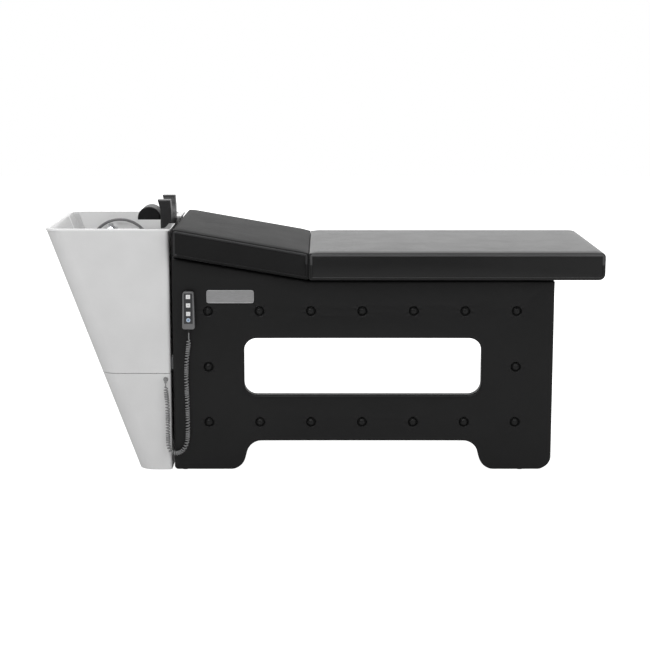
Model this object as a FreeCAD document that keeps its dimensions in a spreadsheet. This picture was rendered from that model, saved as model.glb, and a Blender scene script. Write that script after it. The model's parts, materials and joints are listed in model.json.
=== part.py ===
import FreeCAD, Part
import math
import os
import re
import Sketcher

# Hair washing bed: an upholstered couch with a tilting backrest, joined to a basin pedestal.
# +X runs from the basin to the foot of the couch, -Y is the side with the remote, +Z is up.
# The origin is on the floor, halfway along the bed and on its centre line. Sizes are in mm.

Vector = FreeCAD.Vector

SIZES = (
    # Basin and pedestal
    ("basin_length", 490.0, "rim of the basin, from its outer end to the neck"),
    ("basin_width", 680.0, "outside of the basin across the bed"),
    ("rim_height", 958.0, "floor to the top of the rim"),
    ("lean_angle", 20.2, "degrees that the pedestal's outer end leans"),
    ("lip_reach", 8.0, "rim beyond the casing at the neck"),
    ("lip_thickness", 8.0, "rim flange"),
    ("casing_wall", 6.0, "moulded casing"),
    ("casing_joint", 390.0, "floor to the joint between the casings"),
    ("joint_gap", 2.0, "shadow line between the casings"),
    ("outer_corner_radius", 65.0, "casing corners at the outer end"),
    ("neck_corner_radius", 14.0, "casing corners at the neck"),
    ("floor_gap", 4.0, "casings and panels above the floor"),
    ("bowl_play", 1.5, "bowl inside the casing"),
    ("bowl_wall", 9.0, "bowl sides"),
    ("bowl_floor", 12.0, "bowl bottom"),
    ("bowl_depth", 228.0, "rim to the bowl's floor"),
    ("bowl_corner_radius", 45.0, "inside corners of the bowl"),
    ("bowl_floor_radius", 30.0, "bowl's sides into its floor"),
    ("ledge_drop", 104.5, "rim to the mixer's ledge"),
    ("ledge_width", 110.0, "mixer's ledge along the far side"),
    ("ledge_corner_radius", 20.0, "corners above the ledge"),
    ("notch_width", 262.0, "neck opening in the rim"),
    ("notch_depth", 42.0, "neck opening below the rim"),
    # Drain, trap and water supply
    ("drain_radius", 22.0, "drain hole"),
    ("drain_inset", 150.0, "drain centre from the neck end of the casing"),
    ("drain_flange_radius", 31.0, "flange on the bowl's floor"),
    ("drain_flange_thickness", 2.0, "flange on the bowl's floor"),
    ("drain_tube_wall", 2.0, "drain tube"),
    ("drain_tube_length", 40.0, "drain tube below the bowl's floor"),
    ("strainer_depth", 14.0, "strainer inside the drain"),
    ("strainer_cap", 3.0, "strainer's cap"),
    ("strainer_slot", 4.0, "strainer's slots"),
    ("fit_play", 0.5, "loose pieces in their seats"),
    ("trap_radius", 38.0, "bottle trap"),
    ("trap_height", 96.0, "bottle trap"),
    ("trap_tail_length", 60.0, "pipe between drain and trap"),
    ("waste_radius", 20.0, "waste pipe"),
    ("waste_wall", 2.0, "waste pipe"),
    ("waste_inset", 62.0, "waste pipe from the neck end of the casing"),
    ("waste_clearance", 8.0, "waste pipe above the floor"),
    ("supply_radius", 5.5, "braided supply hoses"),
    ("supply_spacing", 15.0, "between the supply hoses"),
    ("supply_nut_radius", 13.0, "half inch union nuts"),
    ("supply_thread_radius", 9.3, "half inch union nuts inside"),
    ("supply_nut_depth", 14.0, "half inch union nuts inside"),
    ("supply_nut_length", 22.0, "half inch union nuts"),
    ("supply_nut_height", 14.0, "floor to the union nuts"),
    # Pedestal frame
    ("foot_radius", 12.5, "levelling feet"),
    ("foot_stem_radius", 4.0, "levelling feet"),
    ("foot_stem_length", 30.0, "levelling feet"),
    ("hole_play", 0.3, "bolts and stems in their holes"),
    ("plate_thickness", 8.0, "pedestal base plate"),
    ("plate_gap", 2.0, "base plate above the casings' lower edge"),
    ("post_width", 30.0, "pedestal posts"),
    ("post_spacing", 420.0, "between the posts' centres"),
    ("arm_thickness", 20.0, "arms under the bowl"),
    ("arm_length", 320.0, "arms under the bowl"),
    ("link_height", 400.0, "floor to the link brackets"),
    ("link_size", 55.0, "link brackets upright"),
    ("link_width", 40.0, "link brackets across the bed"),
    # Mixer, hose and hand shower
    ("mixer_inset", 184.0, "mixer's centre from the rim's outer end"),
    ("mixer_offset", 243.0, "mixer from the centre line"),
    ("mixer_flange_radius", 26.0, "mixer's foot"),
    ("mixer_flange_height", 4.0, "mixer's foot"),
    ("mixer_radius", 20.0, "mixer's body"),
    ("mixer_height", 30.0, "mixer's body above its foot"),
    ("mixer_shank_radius", 15.0, "mixer's shank in the ledge"),
    ("mixer_cap_radius", 23.0, "mixer's turning cap"),
    ("mixer_cap_height", 18.0, "mixer's turning cap"),
    ("mixer_crown_radius", 6.0, "flat top of the mixer's cap"),
    ("mixer_crown_height", 14.0, "sloping part of the mixer's cap"),
    ("lever_length", 56.0, "mixer's lever beyond the mixer's axis"),
    ("lever_width", 16.0, "mixer's lever"),
    ("lever_height", 9.0, "mixer's lever at its hub"),
    ("lever_tip", 6.0, "mixer's lever at its tip"),
    ("lever_drop", 38.0, "lever's tip below its hub"),
    ("lever_hub", 6.0, "lever's pivot behind the mixer's axis"),
    ("seat_play", 0.3, "moving pieces above their seats"),
    ("hose_offset", 295.0, "shower hose from the centre line"),
    ("hose_radius", 6.0, "shower hose"),
    ("gland_radius", 16.0, "hose gland's disc"),
    ("gland_height", 3.0, "hose gland's disc"),
    ("gland_sleeve", 9.0, "hose gland's leaning sleeve"),
    ("gland_lean", 30.0, "degrees that the sleeve leans"),
    ("gland_rise", 7.3, "ledge to the middle of the sleeve's end"),
    ("gland_nut", 12.0, "nut and shank under the ledge"),
    ("hose_start", 104.6, "hose's start from the rim's outer end"),
    ("hose_end", 366.0, "hand shower's end from the rim's outer end"),
    ("handle_radius", 10.0, "hand shower's handle"),
    ("handle_length", 52.0, "hand shower's handle"),
    ("handle_rise", 14.0, "handle's axis above the ledge"),
    ("spray_radius", 20.0, "hand shower's head"),
    ("spray_height", 20.0, "hand shower's head"),
    ("spray_face_radius", 17.0, "spray face"),
    ("spray_face_height", 2.0, "spray face"),
    ("cradle_length", 26.0, "cradle under the handle"),
    ("cradle_width", 28.0, "cradle under the handle"),
    # Neck rest and head support
    ("neck_width", 250.0, "neck rest across the bed"),
    ("neck_length", 43.0, "neck rest along the bed"),
    ("neck_reach", 51.0, "neck rest's basin face from the casing's end"),
    ("neck_top", 1050.0, "floor to the neck rest's horns"),
    ("neck_flare", 11.0, "horns lean towards the basin"),
    ("neck_flare_height", 40.0, "leaning part of the horns"),
    ("neck_hollow_radius", 82.0, "hollow for the neck"),
    ("neck_hollow_depth", 70.0, "hollow below the horns"),
    ("neck_edge_radius", 5.0, "rounded edges of the neck rest"),
    ("clip_thickness", 3.0, "clip under the neck rest"),
    ("clip_width", 100.0, "clip under the neck rest"),
    ("clip_leg", 30.0, "clip's legs"),
    ("head_radius", 46.0, "head support's round"),
    ("head_base", 6.0, "head support below its round"),
    ("head_width", 124.0, "head support across the bed"),
    ("head_gap", 6.0, "head support to the neck rest"),
    ("head_height", 965.0, "floor to the head support"),
    ("head_edge_radius", 6.0, "rounded edges of the head support"),
    ("tongue_length", 60.0, "plate in the head support and neck rest"),
    ("tongue_width", 36.0, "plate in the head support and neck rest"),
    ("tongue_thickness", 5.0, "plate in the head support and neck rest"),
    ("tongue_rise", 4.0, "plate above the head support's base"),
    ("tongue_grip", 12.0, "plate inside the neck rest"),
    # Side panels
    ("base_width", 680.0, "outside of the side panels"),
    ("panel_gap", 2.0, "side panels to the rim"),
    ("panel_length", 1482.0, "side panels along the bed"),
    ("panel_height", 758.0, "side panels under the seat"),
    ("panel_rise", 90.0, "side panels' extra height at the basin"),
    ("board_thickness", 18.0, "plywood boards"),
    ("pad_thickness", 22.0, "upholstery on the side boards"),
    ("pad_edge_radius", 7.0, "rounded upholstery edge"),
    ("cutout_height", 120.0, "cut-out between the feet"),
    ("head_foot", 268.0, "foot at the basin, on the floor"),
    ("foot_foot", 268.0, "foot at the far end, on the floor"),
    ("toe_lean", 30.0, "slant of the cut-out's sides"),
    ("cutout_radius", 60.0, "cut-out's upper corners"),
    ("toe_radius", 60.0, "feet beside the cut-out"),
    ("head_toe_radius", 15.0, "outer corner at the basin"),
    ("foot_toe_radius", 52.0, "outer corner at the far end"),
    ("window_start", 278.0, "panel's end to the window"),
    ("window_length", 927.0, "window"),
    ("window_sill", 304.0, "floor to the window"),
    ("window_height", 226.0, "window"),
    ("window_radius", 50.0, "window's corners"),
    ("arch_head_column", 235.0, "far side's column at the basin"),
    ("arch_foot_column", 202.0, "far side's column at the far end"),
    ("arch_radius", 60.0, "far side's arch"),
    ("button_head_margin", 139.0, "panel's end to the first upholstery button"),
    ("button_foot_margin", 143.0, "last upholstery button to the panel's end"),
    ("button_top_drop", 120.0, "top row below the panel's upper edge"),
    ("button_low_rise", 76.0, "low row above the cut-out"),
    ("button_radius", 12.5, "upholstery buttons"),
    ("button_height", 5.0, "upholstery buttons"),
    ("button_crown", 2.0, "bevelled front of the buttons"),
    ("dimple_radius", 20.0, "dimple in the pad's face"),
    ("dimple_floor_radius", 15.0, "dimple's floor"),
    ("dimple_depth", 4.0, "dimple"),
    # Base frame
    ("cross_inset", 40.0, "cross panels from the side panels' ends"),
    ("cross_rise", 60.0, "floor to the cross panels"),
    ("rail_size", 40.0, "square steel tube"),
    ("rail_wall", 2.0, "square steel tube"),
    ("bolt_radius", 4.0, "frame bolts"),
    ("bolt_head_radius", 7.0, "frame bolts"),
    ("bolt_head_height", 5.0, "frame bolts"),
    ("head_foot_inset", 41.0, "levelling foot at the basin"),
    ("foot_foot_inset", 117.0, "levelling foot at the far end"),
    ("stop_height", 12.0, "rubber stops under the backrest"),
    ("stop_width", 16.0, "rubber stops along the bed"),
    ("stop_length", 60.0, "rubber stops across the bed"),
    ("stop_offset", 200.0, "rubber stops from the centre line"),
    # Cushions
    ("cushion_width", 770.0, "cushions across the bed"),
    ("cushion_gap", 9.0, "rim to the backrest"),
    ("shadow_gap", 7.0, "side panels to the seat"),
    ("seat_length", 1140.0, "seat cushion"),
    ("seat_thickness", 106.0, "seat cushion"),
    ("back_length", 525.0, "backrest cushion"),
    ("back_thickness", 98.0, "backrest cushion, upright"),
    ("back_rise", 90.0, "backrest's head end above its seam"),
    ("back_lift", 1.0, "backrest's lower seam edge above the seat's"),
    ("seam_gap", 2.0, "between the cushions"),
    ("cushion_edge_radius", 22.0, "long edges of the cushions"),
    ("cushion_end_radius", 19.0, "end edges of the cushions"),
    ("cushion_crown", 7.0, "cushion's middle above its edges"),
    ("cushion_draw", 4.0, "cushion's sides drawn in at the bottom"),
    ("board_inset", 30.0, "cushion boards inside the cushions"),
    # Hinge at the seam
    ("pivot_depth", 22.0, "hinge pin below the backrest's top"),
    ("hinge_offset", 250.0, "hinges from the centre line"),
    ("leaf_thickness", 6.0, "hinge leaves"),
    ("leaf_play", 0.4, "between the hinge leaves"),
    ("leaf_width", 20.0, "hinge leaves' arms"),
    ("leaf_gap", 4.0, "hinge leaves' arms from the seam"),
    ("leaf_foot", 86.0, "hinge leaves' feet"),
    ("leaf_foot_thickness", 6.0, "hinge leaves' feet"),
    ("knuckle_radius", 10.0, "hinge knuckles"),
    ("pin_radius", 4.0, "hinge pins"),
    ("pin_proud", 1.5, "hinge pins beyond the leaves"),
    ("pin_play", 0.05, "running fit of pins and rod"),
    ("pocket_play", 2.0, "pockets in the cushions around the hinges"),
    # Actuator
    ("actuator_run", 212.0, "rear pin from the seam"),
    ("actuator_drop", 125.0, "rear pin below the seat's base"),
    ("bracket_run", 268.0, "front pin from the seam"),
    ("bracket_drop", 119.0, "front pin below the hinge pin"),
    ("actuator_pin_radius", 5.0, "actuator's pins"),
    ("eye_radius", 14.0, "actuator's eyes"),
    ("eye_width", 24.0, "actuator's eyes"),
    ("eye_play", 1.6, "front pin in the rod's eye"),
    ("ear_thickness", 5.0, "bracket ears"),
    ("ear_play", 2.0, "eyes between the ears"),
    ("ear_width", 50.0, "bracket ears"),
    ("ear_round", 14.0, "bracket ears beyond their pin"),
    ("tube_radius", 21.0, "actuator's outer tube"),
    ("tube_start", 30.0, "outer tube from the rear pin"),
    ("tube_length", 290.0, "outer tube"),
    ("gearbox_length", 42.0, "gearbox"),
    ("gearbox_width", 46.0, "gearbox"),
    ("gearbox_height", 90.0, "gearbox"),
    ("motor_radius", 19.0, "motor"),
    ("motor_length", 100.0, "motor"),
    ("motor_drop", 43.0, "motor's axis from the tube's"),
    ("rod_radius", 10.0, "actuator's rod"),
    ("rod_hidden", 180.0, "rod inside the outer tube"),
    ("control_length", 160.0, "control box"),
    ("control_width", 110.0, "control box"),
    ("control_height", 60.0, "control box"),
    # Remote, its hook, cord and the plate
    ("remote_inset", 65.0, "remote's centre from the panel's end"),
    ("remote_drop", 40.5, "remote's top below the panel's upper edge"),
    ("remote_width", 49.0, "remote's lower end"),
    ("remote_taper", 3.5, "remote's sides drawn in at its top"),
    ("remote_height", 147.0, "remote"),
    ("remote_thickness", 25.0, "remote"),
    ("remote_back", 9.0, "remote's back shell"),
    ("remote_gap", 3.3, "panel to the remote's back"),
    ("remote_corner_radius", 9.0, "remote"),
    ("remote_edge_radius", 2.5, "remote"),
    ("keypad_width", 34.0, "keypad"),
    ("keypad_height", 119.5, "keypad"),
    ("keypad_top", 5.5, "keypad below the remote's top"),
    ("keypad_depth", 1.2, "keypad"),
    ("key_size", 16.0, "square buttons"),
    ("key_first", 19.0, "first button below the remote's top"),
    ("key_pitch", 33.3, "between the square buttons"),
    ("ring_drop", 24.5, "round button below the last square one"),
    ("ring_radius", 8.0, "round button"),
    ("key_thickness", 8.0, "buttons"),
    ("key_proud", 2.0, "buttons above the remote's face"),
    ("key_travel", 2.0, "space behind the buttons"),
    ("hook_radius", 14.0, "hook's plate"),
    ("hook_plate", 3.0, "hook's plate"),
    ("peg_radius", 5.0, "hook's peg"),
    ("peg_length", 8.0, "hook's peg in the remote"),
    ("hook_drop", 22.0, "hook below the remote's top"),
    ("hook_lift", 30.0, "travel of the remote on its hook"),
    ("relief_radius", 6.0, "strain relief"),
    ("relief_length", 14.0, "strain relief"),
    ("wire_radius", 2.4, "remote's cord"),
    ("curl_radius", 6.6, "centre line of the cord's curls"),
    ("curl_start", 24.0, "straight cord below the remote"),
    ("curl_end", 10.0, "straight cord below the gland"),
    ("cord_gap", 0.3, "cord's ends to the strain relief and the gland"),
    ("cord_gland_radius", 9.5, "gland on the casing"),
    ("cord_gland_plate", 4.0, "gland on the casing"),
    ("cord_gland_inset", 18.9, "gland from the casing's end"),
    ("cord_gland_height", 368.0, "floor to the gland"),
    ("cord_gland_neck", 6.5, "gland's elbow"),
    ("cord_gland_collar", 4.6, "gland's collar"),
    ("cord_gland_drop", 12.0, "collar's end below the gland's centre"),
    ("plate_length", 184.0, "plate on the panel"),
    ("plate_height", 51.5, "plate on the panel"),
    ("plate_depth", 2.0, "plate on the panel"),
    ("plate_start", 134.0, "plate from the panel's end"),
    ("plate_drop", 37.0, "plate's top below the panel's upper edge"),
    ("plate_radius", 12.0, "plate's corners"),
    ("rivet_radius", 3.5, "plate's screws"),
    ("rivet_height", 1.5, "plate's screws"),
    ("rivet_margin", 9.0, "plate's screws from its ends"),
    # Working allowance
    ("overrun", 2.0, "cuts run past what they cut"),
)

BUTTON_COUNT = 7
FRAME_BOLT_SHARES = (0.06, 0.36, 0.68, 0.95)
CROSS_TUBE_SHARES = (0.02, 0.78, 0.97)
CUSHION_SHARES = (0.0, 0.25, 0.5, 0.75, 1.0)
SUPPLY_ROUTE_SHARES = ((0.0, 1.0), (0.0, 0.82), (0.3, 0.6), (0.7, 0.34), (1.0, 0.16))
SQUARE_KEY_COUNT = 3
CORD_TURNS = 84
BEND_SHARE = 0.45
TOLERANCE = 1e-3
VOLUME_TOLERANCE = 0.01
ARC_SAMPLES = 4
CURL_SAMPLES = 80

PLACES = (
    ("head_x", "-(basin_length + cushion_gap + back_length + seat_length) / 2"),
    ("rim_end", "head_x + basin_length"),
    ("casing_end", "rim_end - lip_reach"),
    ("back_start", "rim_end + cushion_gap"),
    ("seam_x", "back_start + back_length"),
    ("foot_x", "seam_x + seat_length"),
    ("panel_start", "rim_end + panel_gap"),
    ("panel_end", "panel_start + panel_length"),
    ("lean", "tan(lean_angle)"),
    ("lean_cos", "cos(lean_angle)"),
    ("bowl_inset", "casing_wall + bowl_play"),
    ("cavity_inset", "bowl_inset + bowl_wall"),
    ("flange_z", "rim_height - lip_thickness"),
    ("basin_floor", "rim_height - bowl_depth"),
    ("bowl_bottom", "basin_floor - bowl_floor"),
    ("ledge_z", "rim_height - ledge_drop"),
    ("ledge_y", "basin_width / 2 - cavity_inset - ledge_width"),
    ("ledge_bottom", "ledge_z - bowl_floor"),
    ("notch_z", "rim_height - notch_depth"),
    ("drain_x", "casing_end - drain_inset"),
    ("drain_y", "-ledge_width / 2"),
    ("waste_x", "casing_end - waste_inset"),
    ("trap_top", "basin_floor - drain_tube_length - trap_tail_length"),
    ("trap_bottom", "trap_top - trap_height"),
    ("plate_z", "floor_gap + plate_gap"),
    ("mixer_x", "head_x + mixer_inset"),
    ("gland_x", "head_x + hose_start - gland_rise * tan(gland_lean)"),
    ("cap_z", "ledge_z + mixer_flange_height + mixer_height + seat_play"),
    ("lever_z", "cap_z + mixer_cap_height + seat_play"),
    ("handle_x", "head_x + hose_end"),
    ("handle_z", "ledge_z + handle_rise"),
    ("spray_x", "handle_x + handle_length + spray_radius * 3 / 4"),
    ("clip_z", "notch_z + seat_play"),
    ("neck_z", "clip_z + clip_thickness"),
    ("neck_x", "casing_end - neck_reach"),
    ("head_end", "neck_x - head_gap"),
    ("seat_base", "panel_height + shadow_gap"),
    ("seat_board_top", "seat_base + board_thickness"),
    ("back_base", "seat_base + back_lift"),
    ("back_slope", "back_rise / back_length"),
    ("pivot_z", "back_base + back_thickness - pivot_depth"),
    ("window_x", "panel_start + window_start"),
    ("window_top", "window_sill + window_height"),
    ("head_toe_x", "panel_start + head_foot"),
    ("foot_toe_x", "panel_end - foot_foot"),
    ("arch_start", "panel_start + arch_head_column"),
    ("arch_end", "panel_end - arch_foot_column"),
    ("button_x", "panel_start + button_head_margin"),
    ("button_pitch", "(panel_length - button_head_margin - button_foot_margin) / %d" % (BUTTON_COUNT - 1)),
    ("button_top_z", "panel_height - button_top_drop"),
    ("button_low_z", "cutout_height + button_low_rise"),
    ("side_y", "base_width / 2"),
    ("board_y", "side_y - pad_thickness"),
    ("inner_y", "board_y - board_thickness"),
    ("cross_head_x", "panel_start + cross_inset"),
    ("cross_foot_x", "panel_end - cross_inset - board_thickness"),
    ("rail_start", "cross_head_x + board_thickness"),
    ("rail_length", "cross_foot_x - rail_start"),
    ("rail_z", "seat_base - rail_size"),
    ("rail_y", "inner_y - rail_size"),
    ("stop_x", "cross_head_x + board_thickness / 2 - stop_width / 2"),
    ("stop_z", "back_base + (seam_x - stop_x - stop_width) * back_slope - seat_play"),
    ("actuator_x", "seam_x + actuator_run"),
    ("actuator_z", "seat_base - actuator_drop"),
    ("bracket_x", "seam_x - bracket_run"),
    ("bracket_z", "pivot_z - bracket_drop"),
    ("actuator_reach", "sqrt((actuator_x - bracket_x) ^ 2 + (bracket_z - actuator_z) ^ 2)"),
    ("ear_y", "eye_width / 2 + ear_play"),
    ("control_x", "rail_start + rail_length * 3 / 4"),
    ("remote_top", "panel_height - remote_drop"),
    ("plate_top", "panel_height - plate_drop"),
    ("remote_x", "panel_start + remote_inset"),
    ("remote_y", "side_y + remote_gap"),
    ("remote_face", "remote_y + remote_thickness"),
    ("remote_joint", "remote_y + remote_back"),
    ("remote_bottom", "remote_top - remote_height"),
    ("cord_y", "remote_y + remote_thickness / 2"),
    ("hook_z", "remote_top - hook_drop"),
    ("cord_gland_x", "casing_end - cord_gland_inset"),
)

# Route of the curly cord in its own upright plane: along the bed from the rim's end, and up.
CORD_ROUTE = (
    (67.0, 556.2),
    (67.0, 532.0),
    (64.4, 500.0),
    (57.6, 452.0),
    (54.8, 392.0),
    (55.8, 332.0),
    (57.6, 272.0),
    (58.4, 216.0),
    (58.1, 168.0),
    (57.4, 138.0),
    (53.6, 115.0),
    (45.1, 95.0),
    (33.1, 81.5),
    (18.7, 74.5),
    (5.7, 74.0),
    (-6.2, 79.3),
    (-15.3, 90.1),
    (-19.9, 106.5),
    (-20.6, 130.0),
    (-20.5, 172.0),
    (-19.9, 230.0),
    (-21.4, 286.0),
    (-25.6, 322.0),
    (-26.9, 340.0),
    (-26.9, 355.7),
)

# Route of the shower hose in its own upright plane: from the rim's outer end, and above the ledge.
HOSE_ROUTE = (
    (104.6, 7.3),
    (114.6, 24.6),
    (138.4, 48.4),
    (167.6, 65.3),
    (200.1, 74.0),
    (233.9, 74.0),
    (266.4, 65.3),
    (295.6, 48.4),
    (313.8, 30.2),
    (331.0, 18.9),
    (348.5, 14.0),
    (366.0, 14.0),
)

SIZE_NAMES = {entry[0] for entry in SIZES}
PLACE_NAMES = {entry[0] for entry in PLACES}
WORD = re.compile(r"[a-z][a-z_]*")


def bound(text):
    """An expression with each size and place written as a property of its sheet."""
    def owner(match):
        name = match.group(0)
        if name in SIZE_NAMES:
            return "Sizes." + name
        if name in PLACE_NAMES:
            return "Places." + name
        return name
    return WORD.sub(owner, text)


def fill_sheet(document):
    """The spreadsheet of driving dimensions, one row each."""
    sheet = document.addObject("Spreadsheet::Sheet", "Sizes")
    for row, (name, number, meaning) in enumerate(SIZES, 1):
        sheet.set("A%d" % row, name)
        sheet.set("B%d" % row, str(number))
        sheet.set("C%d" % row, meaning)
        sheet.setAlias("B%d" % row, name)
    document.recompute()
    return sheet


def fill_places(document):
    """Places worked out from the driving dimensions."""
    places = document.addObject("App::VarSet", "Places")
    for name, text in PLACES:
        places.addProperty("App::PropertyFloat", name)
        places.setExpression(name, bound(text))
    document.recompute()
    return places


doc = FreeCAD.newDocument("HairWashingBed")
SHEET = fill_sheet(doc)
VARIABLES = fill_places(doc)
NODES = []


def measure(text):
    """The present value of an expression in mm."""
    return float(VARIABLES.evalExpression(bound(text)))


def bind(thing, **texts):
    """Bind properties to expressions; a double underscore stands for a dot."""
    for name, text in texts.items():
        thing.setExpression(name.replace("__", "."), bound(text))


def place(thing, corner):
    """Bind an object's position to three expressions."""
    bind(thing, Placement__Base__x=corner[0], Placement__Base__y=corner[1], Placement__Base__z=corner[2])


def node(name, thing):
    """Name a finished sub-part: its Label is its file's name."""
    thing.Label = name
    NODES.append(thing)
    return thing


# Building blocks

def block(name, corner, size):
    """A box from its lowest corner."""
    box = doc.addObject("Part::Box", name)
    bind(box, Length=size[0], Width=size[1], Height=size[2])
    place(box, corner)
    return box


AXIS_TURNS = {
    "X": FreeCAD.Rotation(Vector(0, 0, 1), Vector(1, 0, 0)),
    "Y": FreeCAD.Rotation(Vector(0, 0, 1), Vector(0, 1, 0)),
    "Z": FreeCAD.Rotation(),
}


def rod(name, axis, start, length, radius):
    """A cylinder along one axis from the middle of its first end."""
    cylinder = doc.addObject("Part::Cylinder", name)
    bind(cylinder, Radius=radius, Height=length)
    cylinder.Placement = FreeCAD.Placement(Vector(), AXIS_TURNS[axis])
    place(cylinder, start)
    return cylinder


def taper(name, axis, start, length, first_radius, last_radius):
    """A cone frustum along one axis from the middle of its first end."""
    cone = doc.addObject("Part::Cone", name)
    bind(cone, Radius1=first_radius, Radius2=last_radius, Height=length)
    cone.Placement = FreeCAD.Placement(Vector(), AXIS_TURNS[axis])
    place(cone, start)
    return cone


def union(name, pieces):
    """Pieces joined into one solid."""
    fused = doc.addObject("Part::MultiFuse", name)
    fused.Shapes = pieces
    fused.Refine = True
    return fused


def group(name, pieces):
    """Separate solids that share a node."""
    compound = doc.addObject("Part::Compound", name)
    compound.Links = pieces
    return compound


def cut(name, base, tools):
    """A piece with one or more tools cut away."""
    result = doc.addObject("Part::Cut", name)
    result.Base = base
    result.Tool = tools[0] if len(tools) == 1 else group(name + "_tools", tools)
    return result


def origin_plane(body, role):
    """One of a body's own origin planes."""
    for feature in body.Origin.OriginFeatures:
        if feature.Role == role:
            return feature
    raise ValueError("the body has no " + role)


def outline(body, name, plane, points, offset):
    """A closed sketch through points whose coordinates are expressions."""
    sketch = body.newObject("Sketcher::SketchObject", name)
    sketch.AttachmentSupport = [(origin_plane(body, plane + "_Plane"), "")]
    sketch.MapMode = "FlatFace"
    spots = [Vector(measure(across), measure(up), 0) for across, up in points]
    for index, spot in enumerate(spots):
        sketch.addGeometry(Part.LineSegment(spot, spots[(index + 1) % len(spots)]), False)
    for index in range(len(spots)):
        sketch.addConstraint(Sketcher.Constraint("Coincident", index, 2, (index + 1) % len(spots), 1))
    for index, (across, up) in enumerate(points):
        for kind, text, number in (("DistanceX", across, spots[index].x), ("DistanceY", up, spots[index].y)):
            datum = sketch.addConstraint(Sketcher.Constraint(kind, -1, 1, index, 1, number))
            sketch.setExpression("Constraints[%d]" % datum, bound(text))
    bind(sketch, AttachmentOffset__Base__z=offset)
    return sketch


def prism(name, plane, points, start, depth):
    """A body padded from an outline, between start and start + depth on the third axis."""
    body = doc.addObject("PartDesign::Body", name)
    offset = "-((%s) + (%s))" % (start, depth) if plane == "XZ" else start
    sketch = outline(body, name + "_outline", plane, points, offset)
    pad = body.newObject("PartDesign::Pad", name + "_pad")
    pad.Profile = sketch
    bind(pad, Length=depth)
    doc.recompute()
    return body


def pocket(body, name, plane, points, start, depth):
    """Cut an outline out of a body, between start and start + depth on the third axis."""
    before = body.Shape.Volume
    offset = "-(%s)" % start if plane == "XZ" else "(%s) + (%s)" % (start, depth)
    sketch = outline(body, name + "_outline", plane, points, offset)
    hole = body.newObject("PartDesign::Pocket", name)
    hole.Profile = sketch
    bind(hole, Length=depth)
    doc.recompute()
    if not body.Shape.Volume < before:
        raise ValueError(name + " cuts nothing")


def rectangle(left, bottom, right, top):
    """The four corners of a rectangle as expressions."""
    return [(left, bottom), (right, bottom), (right, top), (left, top)]


def edge_names(body, wanted):
    """Names of a body's edges for which wanted(edge) holds."""
    return ["Edge%d" % number for number, edge in enumerate(body.Shape.Edges, 1) if wanted(edge)]


def round_edges(body, name, radius, wanted):
    """Fillet the wanted edges of a body."""
    names = edge_names(body, wanted)
    if not names:
        raise ValueError(name + " finds no edge")
    base = body.Tip
    fillet = body.newObject("PartDesign::Fillet", name)
    fillet.Base = (base, names)
    bind(fillet, Radius=radius)
    doc.recompute()
    if "Invalid" in fillet.State:
        raise ValueError(name + " can't round its edges")


def across_plane(plane, spots):
    """A test for edges that run across a plane at the given spots."""
    places = [(measure(across), measure(up)) for across, up in spots]

    def wanted(edge):
        low, high = edge.Vertexes[0].Point, edge.Vertexes[-1].Point
        if plane == "XZ":
            first, second, run = (low.x, low.z), (high.x, high.z), abs(high.y - low.y)
        elif plane == "XY":
            first, second, run = (low.x, low.y), (high.x, high.y), abs(high.z - low.z)
        else:
            first, second, run = (low.y, low.z), (high.y, high.z), abs(high.x - low.x)
        return run > 0 and any(math.dist(first, spot) + math.dist(second, spot) < TOLERANCE
                               for spot in places)
    return wanted


def on_level(axis, text):
    """A test for edges that lie wholly in one plane across an axis."""
    level = measure(text)
    return lambda edge: all(abs(getattr(point, axis) - level) < TOLERANCE for point in edge.discretize(3))


# Paths of hoses and cords

def rounded_path(points):
    """Straight runs joined by tangent arcs, with the least radius and the length."""
    edges, radii = [], []
    start = points[0]
    for before, corner, after in zip(points, points[1:], points[2:]):
        inward, outward = corner - before, after - corner
        half = inward.getAngle(outward) / 2
        reach = BEND_SHARE * min(inward.Length, outward.Length)
        radius = reach / math.tan(half)
        first = corner - inward.normalize() * reach
        last = corner + outward.normalize() * reach
        bisector = ((first + last) * 0.5 - corner).normalize()
        middle = corner + bisector * (radius / math.cos(half) - radius)
        edges.append(Part.LineSegment(start, first).toShape())
        edges.append(Part.Arc(first, middle, last).toShape())
        radii.append(radius)
        start = last
    edges.append(Part.LineSegment(start, points[-1]).toShape())
    length = sum(edge.Length for edge in edges)
    return edges, radii, length


def sweep(edges, radius):
    """A round section swept along edges that follow each other."""
    path = Part.Wire(edges)
    tangent = edges[0].tangentAt(edges[0].FirstParameter)
    section = Part.Wire([Part.Circle(edges[0].valueAt(edges[0].FirstParameter), tangent, radius).toShape()])
    shell = Part.BRepOffsetAPI.MakePipeShell(path)
    shell.add(section)
    shell.build()
    shell.makeSolid()
    return shell.shape()


def tube(name, points, radius):
    """A plain tube through points, with its radii printed and its volume checked."""
    edges, radii, length = rounded_path(points)
    solid = sweep(edges, radius)
    ratio = solid.Volume / (math.pi * radius ** 2 * length)
    if abs(ratio - 1) > VOLUME_TOLERANCE:
        raise ValueError("%s has %.3f of its volume" % (name, ratio))
    print("%s: length %.1f, radii %s" % (name, length, ", ".join("%.0f" % bend for bend in radii)))
    feature = doc.addObject("Part::Feature", name)
    feature.Shape = solid
    return feature


# Basin, casings and pedestal

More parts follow.
